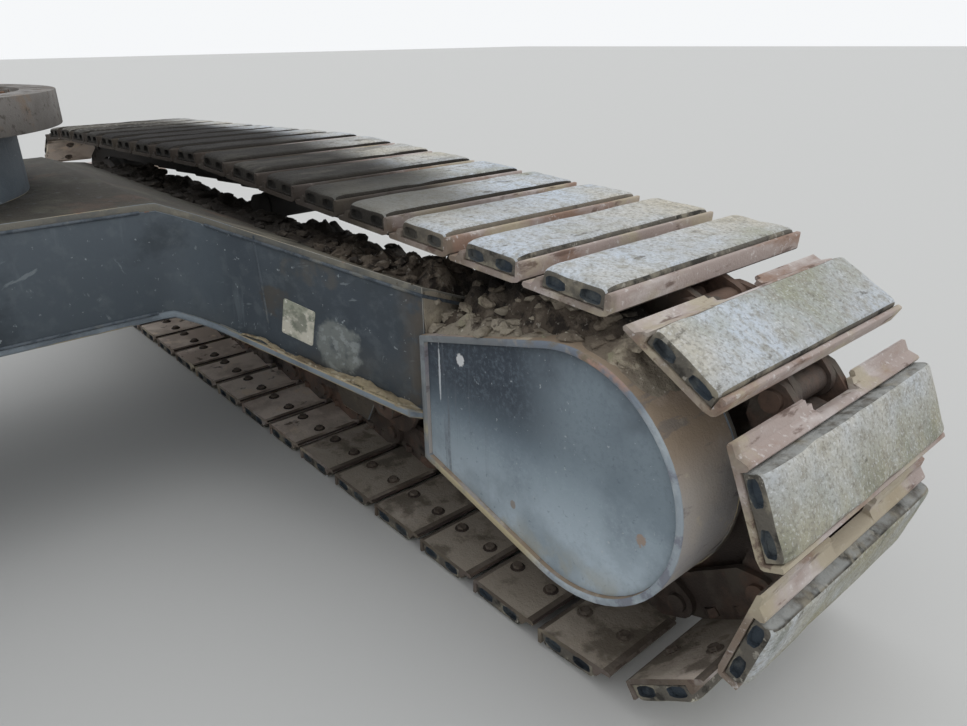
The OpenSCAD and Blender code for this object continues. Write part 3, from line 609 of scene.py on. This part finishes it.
strips = [(-shoe_half, -cut_half, lip), (-cut_half, -notch_half, cut_lip), (-notch_half, notch_half, notch),
          (notch_half, cut_half, cut_lip), (cut_half, shoe_half, lip)]
shoe = bmesh.new()
for y0, y1, lead in strips:
    extruded(shoe, rear_bar + crest + lead, y0, y1)
corners = [e for e in shoe.edges
           if all(abs(v.co.y) > shoe_half - 0.001 and v.co.x > bar_stop - 0.001 for v in e.verts)]
bmesh.ops.bevel(shoe, geom=corners, offset=0.004, segments=2, profile=0.5, affect="EDGES", material=-1)
bmesh.ops.recalc_face_normals(shoe, faces=shoe.faces)
for f in shoe.faces:
    if f.normal.z < -0.9:
        f.material_index = margin if abs(f.calc_center_median().x) > 0.068 else inside
    elif f.normal.z < -0.4:
        f.material_index = dirty
    else:
        f.material_index = outside
for s in (-nut_along, nut_along):
    for y in (-nut_across, nut_across):
        for sides, radius, low, high in (washer, nut):
            middle = Matrix.Translation((s, y, (low + high) / 2))
            turned = bmesh.ops.create_cone(shoe, cap_ends=True, segments=sides, radius1=radius * 0.93,
                                           radius2=radius, depth=high - low, matrix=middle)
            for f in {f for v in turned["verts"] for f in v.link_faces}:
                f.material_index = dirty
along_track("shoe_plates", shoe, [shoe_rust_and_shade, shoe_inside_light_and_shade, shoe_edge_light_and_shade, gap_dirt], "shoes")

# Rubber pads: moulded blocks that are bonded to the shoes. The tread face is caked with dried mud,
# its edges are worn round, and each end has two oval hollows left by the mould.
pad_rubber = weathered("pad_rubber", tone(66, 74, 82), 0.75, [
    dict(colour=tone(94, 98, 98), scale=24, edge=(0.46, 0.62), strength=0.8),
    dict(colour=tone(44, 48, 53), scale=14, edge=(0.55, 0.65), strength=0.8),
    dict(colour=tone(112, 106, 96), scale=16, edge=(0.3, 0.5), x=(-1.17, -1.11), z=(0.58, 0.62),
         strength=0.8),
    # Painted shade: the hollows of the upper run's pads are darkened nearly to black forward of its rear end,
    # for the shade from above.
    dict(colour=tone(34, 33, 32), scale=5, edge=(0.1, 0.3), x=(-1.12, -0.86), z=(0.58, 0.62), strength=0.9),
], bumps=((180, 0.002), (50, 0.003)), shine=0.2)
pad_mud_and_shadow = weathered("pad_mud_and_shadow", tone(182, 186, 190), 0.7, [
    dict(colour=tone(194, 204, 216), scale=3.2, edge=(0.34, 0.66)),
    dict(colour=tone(194, 188, 174), scale=3, edge=(0.4, 0.7)),
    dict(colour=tone(150, 150, 126), scale=4.5, edge=(0.5, 0.72), strength=0.85),
    dict(colour=tone(158, 152, 124), scale=7, edge=(0.3, 0.6), z=(0.55, 0.42), strength=0.8),
    dict(colour=tone(116, 120, 104), scale=16, edge=(0.46, 0.66), stretch=(1, 1, 0.3), z=(0.5, 0.4),
         strength=0.65),
    dict(colour=tone(150, 146, 134), scale=48, edge=(0.46, 0.7), strength=0.7),
    dict(colour=tone(124, 121, 112), scale=170, edge=(0.46, 0.68), strength=0.6),
    dict(colour=tone(222, 224, 226), scale=210, edge=(0.52, 0.7), strength=0.5),
    dict(colour=tone(84, 79, 70), scale=34, edge=(0.62, 0.71), stretch=(1, 0.45, 1), strength=0.7),
    # Painted shadow: this coat and the next three darken the tread of the upper run, nearly to black, on its
    # inner part along the middle of the run, as the shade from above falls on it. The last two coats lighten
    # the front of the track again.
    dict(colour=tone(96, 94, 86), scale=5, edge=(0.1, 0.4), x=(-1.08, -0.86), out=(1.08, 0.9), z=(0.6, 0.63),
         strength=0.85),
    dict(colour=tone(44, 42, 40), scale=5, edge=(0.1, 0.35), x=(-0.9, -0.6), out=(1.14, 0.96), z=(0.6, 0.63),
         strength=0.95, rough=0.9),
    dict(colour=tone(84, 81, 74), scale=22, edge=(0.48, 0.72), stretch=(1, 0.4, 1), x=(-0.9, -0.6),
         z=(0.6, 0.63), strength=0.6),
    dict(colour=tone(34, 32, 31), scale=5, edge=(0.1, 0.35), x=(-0.4, 0.2), out=(1.2, 1.06), z=(0.6, 0.63),
         strength=0.95, rough=0.9),
    dict(colour=tone(120, 116, 108), scale=9, edge=(0.2, 0.7), x=(0.7, 1.4), strength=0.8),
    dict(colour=tone(160, 158, 152), scale=60, edge=(0.5, 0.66), x=(0.7, 1.4), strength=0.6),
], bumps=((130, 0.003), (30, 0.005), (420, 0.001)), shine=0.2)
pad_side_and_shade = weathered("pad_side_and_shade", tone(98, 94, 87), 0.75, [
    dict(colour=tone(136, 130, 116), scale=16, edge=(0.48, 0.62)),
    dict(colour=tone(62, 60, 56), scale=24, edge=(0.5, 0.62)),
    dict(colour=tone(160, 156, 146), scale=60, edge=(0.6, 0.68), strength=0.8),
    dict(colour=tone(158, 160, 158), scale=30, edge=(0.3, 0.6), up=(0.6, 0.9), z=(0.58, 0.55), strength=0.85),
    dict(colour=tone(124, 116, 104), scale=20, edge=(0.3, 0.5), x=(-1.17, -1.11), z=(0.58, 0.62),
         strength=0.8),
    # Painted shade: the ends and sides of the upper run's pads are darkened nearly to black forward of its
    # rear end, for the shade from above.
    dict(colour=tone(36, 34, 32), scale=5, edge=(0.1, 0.35), x=(-1.12, -0.86), z=(0.6, 0.63), strength=0.92,
         rough=0.9),
], bumps=((130, 0.003), (60, 0.003)), shine=0.2)
pad_half, pad_low, pad_top, pad_rim = 0.2475, outer_face, 0.084, 0.005
pad_middle, pad_level = (pad_start + bar_start) / 2, (pad_low + pad_top) / 2
hollow_depth, hollow_level, hollow_off = 0.008, 0.0655, 0.033
hollow_reach, hollow_rise, hollow_square = 0.0215, 0.0122, 2.6
shoulder, shoulder_drop, tread_from = 0.222, 0.0035, 0.068
rubber, caked, flank = 0, 1, 2
pad = bmesh.new()


def drawn(bm, edges, y, squeeze=(1, 1)):
    """Draws an outline out to another place across the track, squeezed in towards its middle."""
    made = bmesh.ops.extrude_edge_only(bm, edges=edges)["geom"]
    moved = {v for v in made if isinstance(v, bmesh.types.BMVert)}
    along, up = squeeze
    for v in moved:
        v.co = (pad_middle + (v.co.x - pad_middle) * along, y, pad_level + (v.co.z - pad_level) * up)
    return [e for e in made if isinstance(e, bmesh.types.BMEdge) and moved.issuperset(e.verts)]


block = [pad.verts.new((s, pad_rim - pad_half, h))
         for s, h in ((pad_start, pad_low), (bar_start, pad_low), (bar_start - 0.001, pad_top),
                      (pad_start + 0.002, pad_top))]
pad.faces.new(block)
bmesh.ops.bevel(pad, geom=block[2:], offset=0.009, segments=4, profile=0.5, affect="VERTICES", material=-1)
bmesh.ops.delete(pad, geom=pad.faces[:], context="FACES_ONLY")
bmesh.ops.subdivide_edges(pad, edges=[e for e in pad.edges if e.calc_length() > 0.05], cuts=7)
outline = pad.edges[:]
rim_edges = drawn(pad, outline, 0.0015 - pad_half, (0.98, 0.93))
rim_edges = drawn(pad, rim_edges, -pad_half, (0.98, 0.91))
rim_points = {v for e in rim_edges for v in e.verts}
middles = sorted(rim_points, key=lambda v: abs(v.co.x - pad_middle))[:2]
divide = pad.edges.new(middles)
end_faces = bmesh.ops.edgenet_fill(pad, edges=rim_edges + [divide])["faces"]
for face in end_faces:
    sign = math.copysign(1, face.calc_center_median().x - pad_middle)
    hollow_middle = pad_middle + sign * hollow_off
    bmesh.ops.inset_individual(pad, faces=[face], thickness=0.003)
    for v in face.verts:
        turn = math.atan2((v.co.z - hollow_level) / hollow_rise, (v.co.x - hollow_middle) / hollow_reach)
        cosine, sine = math.cos(turn), math.sin(turn)
        round_off = (abs(cosine) ** hollow_square + abs(sine) ** hollow_square) ** (1 / hollow_square)
        v.co.x = hollow_middle + hollow_reach * cosine / round_off
        v.co.z = hollow_level + hollow_rise * sine / round_off
    bmesh.ops.inset_individual(pad, faces=[face], thickness=0.0015)
    bmesh.ops.translate(pad, verts=face.verts, vec=(0, hollow_depth, 0))
for y in (-0.235, -0.222, -0.2, -0.16, -0.12, -0.08, -0.04, 0):
    outline = drawn(pad, outline, y)
bmesh.ops.mirror(pad, geom=pad.verts[:] + pad.edges[:] + pad.faces[:], axis="Y", merge_dist=0.0001)
bmesh.ops.remove_doubles(pad, verts=pad.verts, dist=0.00005)
bmesh.ops.recalc_face_normals(pad, faces=pad.faces)
for v in pad.verts:
    if v.co.z > pad_level:
        v.co.z -= shoulder_drop * max(0, (abs(v.co.y) - shoulder) / 0.02) ** 2
for f in pad.faces:
    places = [abs(v.co.y) for v in f.verts]
    sunk = any(abs(y - pad_half + hollow_depth) < 0.0001 for y in places)
    at_end = min(places) > pad_half - 0.0016
    beside = at_end or abs(f.normal.x) > 0.8 or f.normal.z < 0
    f.material_index = rubber if sunk else flank if beside else caked


def worn(co, number):
    """Rubber that has been dragged over stones: it waves a little and is chipped along its edges."""
    if co.z < tread_from:
        return co
    wave = noise.noise(Vector((co.x * 30, co.y * 14, number * 3.1)))
    chip = noise.noise(Vector((co.x * 9, co.y * 22, number * 5.7 + 40)))
    chipped = 0.007 * (0.34 + chip) if chip < -0.34 else 0
    return co + Vector((0.0012 * wave, 0, 0.0016 * wave + chipped))


along_track("rubber_pads", pad, [pad_rubber, pad_mud_and_shadow, pad_side_and_shade], "pads", smooth=40, wear=worn)

# Sprockets, final drives, idlers and rollers: cast and machined steel that rusts, with the final
# drives painted as the frames are. Bolts hold the drives' covers, the sprockets and the brackets.
bolt_steel = weathered("bolt_steel", tone(104, 98, 92), 0.5, [
    dict(colour=tone(122, 94, 76), scale=30, edge=(0.46, 0.6)),
    dict(colour=tone(70, 62, 56), scale=60, edge=(0.55, 0.65)),
], bumps=((500, 0.0004),), metallic=0.3)
cast_edge, drive_edge = 0.002, 0.003
bolt, sprocket_bolt = (0.0085, 0.007), (0.009, 0.008)
fill_plug, axle_plug = (0.013, 0.005, 8), (0.012, 0.005, 8)
drive_bolts, drive_plugs, sprocket_bolts = (10, 0.078), (3, 0.045), (18, 0.136)
ear_reach, ear_rise, fork_reach = 0.026, 0.022, 0.028
roller_count, first_roller, roller_step, roller_height = 7, -0.9993, 0.33310, 0.195
drive_outside, sprocket_inside, frame_outside, frame_inside = 1.17, 0.95, 1.14, 0.85


def ground_of(meshes):
    """Several meshes as one surface, to set bolts or soil on."""
    points, faces = [], []
    for mesh in meshes:
        first = len(points)
        points += [v.co.copy() for v in mesh.vertices]
        faces += [[first + i for i in f.vertices] for f in mesh.polygons]
    return BVHTree.FromPolygons(points, faces)


def heads(bm, ground, places, facing, radius, height, sides=6):
    """Bolt heads that stand on whatever surface lies behind each place."""
    facing = Vector(facing)
    lie = facing.to_track_quat("Z", "X").to_matrix().to_4x4()
    for place in places:
        seat = ground.ray_cast(Vector(place), -facing, 0.12)[0]
        if seat:
            bmesh.ops.create_cone(bm, cap_ends=True, segments=sides, radius1=radius, radius2=radius * 0.92,
                                  depth=height, matrix=Matrix.Translation(seat + facing * height / 2) @ lie)


def circle_of(count, radius, x, y, z):
    """Places evenly round an axle that runs across the machine."""
    angles = [2 * math.pi * (k + 0.5) / count for k in range(count)]
    return [(x + radius * math.cos(angle), y, z + radius * math.sin(angle)) for angle in angles]


for side_name, sign in (("right", -1), ("left", 1)):
    softened(side_name + "_sprocket", cast_edge, [link_steel_and_shade, link_steel_and_shade])
    softened(side_name + "_final_drive", drive_edge, [frame_paint, edge_paint])
    for part in ("idler", "idler_yoke", "track_rollers", "carrier_roller"):
        softened(f"{side_name}_{part}", cast_edge, [link_steel_and_shade, link_steel_and_shade])
    outwards, inwards = (0, sign, 0), (0, -sign, 0)
    drive = ground_of([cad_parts[side_name + "_final_drive"].data])
    wheel = ground_of([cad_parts[side_name + "_sprocket"].data])
    brackets = ground_of([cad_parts[side_name + "_track_rollers"].data])
    fork = ground_of([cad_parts[side_name + "_idler_yoke"].data])
    drive_y, wheel_y, frame_y = sign * drive_outside, sign * sprocket_inside, sign * frame_outside
    fasteners = bmesh.new()
    for ring, head in ((drive_bolts, bolt), (drive_plugs, fill_plug)):
        heads(fasteners, drive, circle_of(*ring, -half_span, drive_y, axle_height), outwards, *head)
    places = circle_of(*sprocket_bolts, -half_span, wheel_y, axle_height)
    heads(fasteners, wheel, places, inwards, *sprocket_bolt)
    for number in range(roller_count):
        x = first_roller + number * roller_step
        for y, facing in ((frame_y, outwards), (sign * frame_inside, inwards)):
            heads(fasteners, brackets, [(x, y, roller_height)], facing, *axle_plug)
            ears = [(x + dx, y, roller_height + ear_rise) for dx in (-ear_reach, ear_reach)]
            heads(fasteners, brackets, ears, facing, *bolt)
    corners = [(half_span + dx, frame_y, axle_height + dz)
               for dx in (-fork_reach, fork_reach) for dz in (-fork_reach, fork_reach)]
    heads(fasteners, fork, corners, outwards, *bolt)
    place_piece(side_name + "_fasteners", fasteners, [bolt_steel], smooth=30)

# Adjuster covers: a plate over the grease valve that tightens the chain, held by four bolts on the
# outside of each side frame. It is painted with the frame.
cover_x, cover_y, cover_z = 0.62, 1.1225, 0.335
cover_length, cover_thickness, cover_height, cover_corner = 0.17, 0.007, 0.10, 0.015
bolt_inset = (0.017, 0.016)
cover_bolt = (0.008, 0.006)
for side_name, sign in (("right", -1), ("left", 1)):
    cover = bmesh.new()
    size = Matrix.Diagonal((cover_length, cover_thickness, cover_height, 1))
    bmesh.ops.create_cube(cover, size=1, matrix=Matrix.Translation((cover_x, sign * cover_y, cover_z)) @ size)
    upright = [e for e in cover.edges if abs((e.verts[0].co - e.verts[1].co).normalized().y) > 0.9]
    bmesh.ops.bevel(cover, geom=upright, offset=cover_corner, segments=4, profile=0.5, affect="EDGES",
                    material=-1)
    rims = [e for e in cover.edges if e.calc_face_angle() > 1.2]
    bmesh.ops.bevel(cover, geom=rims, offset=0.0015, segments=2, profile=0.5, affect="EDGES", material=-1)
    plate = place_piece(side_name + "_adjuster_cover", cover, [frame_paint])
    bolts = bmesh.new()
    bolt_x, bolt_z = cover_length / 2 - bolt_inset[0], cover_height / 2 - bolt_inset[1]
    places = [(cover_x + dx, sign * frame_outside, cover_z + dz) for dx in (-bolt_x, bolt_x)
              for dz in (-bolt_z, bolt_z)]
    heads(bolts, ground_of([plate.data]), places, (0, sign, 0), *cover_bolt)
    place_piece(side_name + "_adjuster_bolts", bolts, [bolt_steel], smooth=30)

# Slewing ring: two forged races, the fixed one with the gear inside, and the swivel joint in the
# middle, a painted steel body with adapters for oil lines. The gear is greased, and bolts hold it down.
ring_steel = weathered("ring_steel", tone(112, 108, 104), 0.5, [
    dict(colour=tone(84, 78, 72), scale=5, edge=(0.35, 0.7), strength=0.8),
    dict(colour=tone(128, 112, 98), scale=26, edge=(0.52, 0.7), strength=0.7),
    dict(colour=tone(66, 60, 54), scale=60, edge=(0.56, 0.68), strength=0.6),
    dict(colour=tone(52, 44, 34), scale=12, edge=(0.2, 0.45), spot=((0, 0, 0.86), (0.355, 0.355, 0.4)),
         ragged=12, rough=0.35, strength=0.85),
], bumps=((300, 0.0008),), metallic=0.4)
inner_edge, outer_edge, swivel_edge = 0.0012, 0.002, 0.002
softened("inner_race", inner_edge, [ring_steel, ring_steel])
softened("outer_race", outer_edge, [ring_steel, ring_steel], "turning_race")
swivel_paint = weathered("swivel_paint", tone(92, 90, 86), 0.55, [
    dict(colour=tone(66, 60, 54), scale=9, edge=(0.4, 0.65)),
    dict(colour=tone(52, 44, 34), scale=16, edge=(0.5, 0.66), rough=0.35),
    dict(colour=tone(126, 120, 108), scale=40, edge=(0.55, 0.7), up=(0.3, 0.8), strength=0.8),
], bumps=((300, 0.0012),))
softened("swivel_joint", swivel_edge, [swivel_paint, swivel_paint])
upwards = (0, 0, 1)
race_bolt_count, race_bolt_circle, above_race = 24, 0.363, 0.93
flange_circle, above_flange = 0.099, 0.58
cap_circle, above_cap = 0.045, 0.9
race_bolt, adapter, adapter_neck = (0.0095, 0.008), (0.015, 0.012), (0.010, 0.030, 12)
flange_bolt, cap_bolt = (0.006, 0.006), (0.006, 0.005)
adapter_start, adapter_turn, row_turn = 0.14, 2 * math.pi / 3, 0.5
turns = [2 * math.pi * (k + 0.5) / race_bolt_count for k in range(race_bolt_count)]


def ring_of(angles, radius, height):
    """Places round the slewing axis."""
    return [(radius * math.cos(angle), radius * math.sin(angle), height) for angle in angles]


joint = ground_of([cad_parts["swivel_joint"].data])
race = ground_of([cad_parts["inner_race"].data])
ring_bolts = bmesh.new()
heads(ring_bolts, race, ring_of(turns, race_bolt_circle, above_race), upwards, *race_bolt)
place_piece("inner_race_bolts", ring_bolts, [bolt_steel], smooth=30)
adapters = bmesh.new()
heads(adapters, joint, ring_of(turns[::3], flange_circle, above_flange), upwards, *flange_bolt)
heads(adapters, joint, ring_of(turns[::4], cap_circle, above_cap), upwards, *cap_bolt)
for row, height in enumerate((0.62, 0.68, 0.74, 0.80)):
    for k in range(3):
        angle = adapter_turn * k + row_turn * row
        facing = (math.cos(angle), math.sin(angle), 0)
        start = ring_of([angle], adapter_start, height)
        heads(adapters, joint, start, facing, *adapter)
        heads(adapters, joint, start, facing, *adapter_neck)
place_piece("swivel_adapters", adapters, [bolt_steel], smooth=30)

# Soil: dried mud and clods that the tracks drop on the roofs of the side frames and on the motor
# guards, and dust on the ledges of the car body's bottom plate. It lies loose, in uneven lumps.
soil = weathered("soil", tone(150, 142, 128), 0.95, [
    dict(colour=tone(116, 106, 94), scale=9, edge=(0.42, 0.6)),
    dict(colour=tone(174, 164, 146), scale=18, edge=(0.52, 0.66)),
    dict(colour=tone(84, 76, 68), scale=34, edge=(0.58, 0.68)),
    dict(colour=tone(150, 150, 122), scale=14, edge=(0.58, 0.68), strength=0.7),
    dict(colour=tone(196, 190, 176), scale=90, edge=(0.64, 0.7), strength=0.8),
    # Painted shade: the outer part of the guard's soil is darkened nearly to black, for the shade under the
    # pads.
    dict(colour=tone(30, 28, 26), scale=12, edge=(0.1, 0.35), out=(0.79, 0.84), strength=0.9),
], bumps=((60, 0.006), (180, 0.003)), shine=0.2)
# This soil is dark, partly its own colour and partly painted shade; the last two coats darken it further
# along the middle and front of the roofs and on the outer strip by the motor guards, as painted shade.
soil_and_painted_shade = weathered("soil_and_painted_shade", tone(88, 79, 70), 0.9, [
    dict(colour=tone(124, 114, 102), scale=18, edge=(0.48, 0.62)),
    dict(colour=tone(50, 45, 41), scale=30, edge=(0.5, 0.62)),
    dict(colour=tone(160, 154, 144), scale=70, edge=(0.6, 0.68), strength=0.8),
    dict(colour=tone(42, 39, 36), scale=6, edge=(0.1, 0.4), x=(-0.8, -0.4), strength=0.9),
    dict(colour=tone(28, 26, 25), scale=12, edge=(0.1, 0.35), x=(-0.96, -1.06), out=(0.78, 0.83),
         strength=0.9),
], bumps=((60, 0.008), (180, 0.003)), shine=0.2)
ledge_soil = weathered("ledge_soil", tone(156, 144, 120), 0.95, [
    dict(colour=tone(118, 106, 88), scale=12, edge=(0.46, 0.62)),
    dict(colour=tone(160, 158, 112), scale=9, edge=(0.52, 0.64), strength=0.8),
    dict(colour=tone(186, 178, 158), scale=40, edge=(0.54, 0.66), strength=0.8),
    dict(colour=tone(84, 76, 66), scale=50, edge=(0.6, 0.68), strength=0.8),
], bumps=((80, 0.005), (240, 0.002)), shine=0.2)
drop_height = 0.66


def ground_under(ground, x, y):
    """Where something dropped from above the roofs lands, or None."""
    return ground.ray_cast(Vector((x, y, drop_height)), Vector((0, 0, -1)))[0]


def heap(name, ground, corner, along, outward, step, depth, seed, material, ceiling=0.62, bank=False,
         lowest=0.0):
    """A crust of soil on a surface, thinning out to nothing at its edges. A bank leans on its first edge.

    It covers the patch that along and outward span from the corner, where the ground is no lower
    than lowest, and stays under the ceiling.
    """
    corner, along, outward = Vector(corner), Vector(along), Vector(outward)
    bm = bmesh.new()
    columns, rows = int(along.length / step), int(outward.length / step)
    bmesh.ops.create_grid(bm, x_segments=columns, y_segments=rows, size=0.5)
    gone = []
    for v in bm.verts:
        u, w = v.co.x + 0.5, v.co.y + 0.5
        x, y = corner + along * u + outward * w
        hit = ground_under(ground, x, y)
        if hit is None or hit.z < lowest:
            gone.append(v)
            continue
        fade = min(1, 6 * u, 6 * (1 - u)) * (1 - w if bank else min(1, 5 * w, 5 * (1 - w)))
        lumps = 1 - 1.7 * noise.voronoi(Vector((x * 22, y * 22, seed)))[0][0]
        swell = 0.62 + 0.9 * noise.noise(Vector((x * 5, y * 5, seed + 9)))
        rough = noise.fractal(Vector((x * 40, y * 40, seed + 20)), 0.8, 2.1, 4)
        sunk = 0.0 if bank else 0.004
        thick = depth * fade * max(0.1, swell) * (0.6 + 0.5 * lumps) + 0.006 * rough * fade - sunk
        v.co = (x, y, min(hit.z + thick - 0.0005, ceiling + 0.008 * rough))
    bmesh.ops.delete(bm, geom=gone, context="VERTS")
    bmesh.ops.recalc_face_normals(bm, faces=bm.faces)
    if bm.faces and sum(f.normal.z for f in bm.faces) < 0:
        bmesh.ops.reverse_faces(bm, faces=bm.faces)
    bmesh.ops.solidify(bm, geom=bm.faces[:], thickness=0.004)
    return place_piece(name, bm, [material], smooth=60)


def clods(name, ground, patches, seed, material, sizes=(0.005, 0.024)):
    """Loose lumps that have come to rest on a surface, none reaching above the top of its patch."""
    chance = random.Random(seed)
    whole = bmesh.new()
    mesh = bpy.data.meshes.new("clod")
    smallest, largest = sizes
    for corner, along, outward, count, top in patches:
        for _ in range(count):
            u, w = chance.random(), chance.random()
            x, y = Vector(corner) + Vector(along) * u + Vector(outward) * w
            size = smallest + (largest - smallest) * chance.random() ** 2.6
            hit = ground_under(ground, x, y)
            if hit is None or hit.z + size * 0.6 > top:
                continue
            lump = bmesh.new()
            bmesh.ops.create_icosphere(lump, subdivisions=2 if size > 0.014 else 1, radius=size)
            heading, tilt = chance.uniform(0, 6.3), chance.uniform(-0.6, 0.6)
            lie = Matrix.Rotation(heading, 4, "Z") @ Matrix.Rotation(tilt, 4, "X")
            shape = Matrix.Diagonal((1.1, chance.uniform(0.5, 0.95), chance.uniform(0.32, 0.62), 1))
            for v in lump.verts:
                spot = v.co / size + Vector((x * 90, y * 90, seed))
                v.co *= 1 + 0.5 * noise.noise(spot * 1.3) + 0.3 * noise.noise(spot * 3.1)
            bmesh.ops.transform(lump, matrix=Matrix.Translation((x, y, hit.z + size * 0.15)) @ lie @ shape,
                                verts=lump.verts)
            lump.to_mesh(mesh)
            lump.free()
            whole.from_mesh(mesh)
    bpy.data.meshes.remove(mesh)
    place_piece(name, whole, [material], smooth=28)


ledge = ground_of([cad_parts["car_body_bottom"].data])
for side_name, sign in (("right", -1), ("left", 1)):
    plates = [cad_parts[f"{side_name}_{part}"].data
              for part in ("side_frame", "motor_guard", "drive_mount")]
    plates.append(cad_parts["car_body_top"].data)
    steel = ground_of(plates)
    roof = heap(side_name + "_roof_soil", steel, (-1.05, sign * 0.728), (2.13, 0), (0, sign * 0.36),
                step=0.010, depth=0.066, seed=3 + sign, material=soil_and_painted_shade, ceiling=0.605)
    ridge = heap(side_name + "_soil_ridge", steel, (-1.47, sign * 0.765), (0.73, 0), (0, sign * 0.165),
                 step=0.008, depth=0.125, seed=63 + sign, material=soil_and_painted_shade, ceiling=0.628, lowest=0.5)
    crown = heap(side_name + "_guard_soil", steel, (-1.525, sign * 0.741), (0.525, 0), (0, sign * 0.128),
                 step=0.006, depth=0.046, seed=8 + sign, material=soil)
    covered = ground_of(plates + [roof.data, crown.data, ridge.data])
    roof_patches = [((-1.02, sign * 0.72), (2.07, 0), (0, sign * 0.18), 420, 0.645),
                    ((-1.02, sign * 0.90), (2.07, 0), (0, sign * 0.19), 160, 0.55)]
    guard_patches = [((-1.47, sign * 0.75), (0.45, 0), (0, sign * 0.11), 150, 0.64)]
    clods(side_name + "_roof_clods", covered, roof_patches, 5 + sign, soil_and_painted_shade)
    clods(side_name + "_guard_clods", covered, guard_patches, 15 + sign, soil, (0.003, 0.018))
    for end_name, end in (("rear", -1), ("front", 1)):
        heap(f"{side_name}_{end_name}_ledge_dust", ledge, (end * 0.56, sign * 0.580),
             (end * 0.455, sign * 0.1635), (end * 0.0115, -sign * 0.035),
             step=0.006, depth=0.034, seed=30 + sign + 3 * end, material=ledge_soil, bank=True)
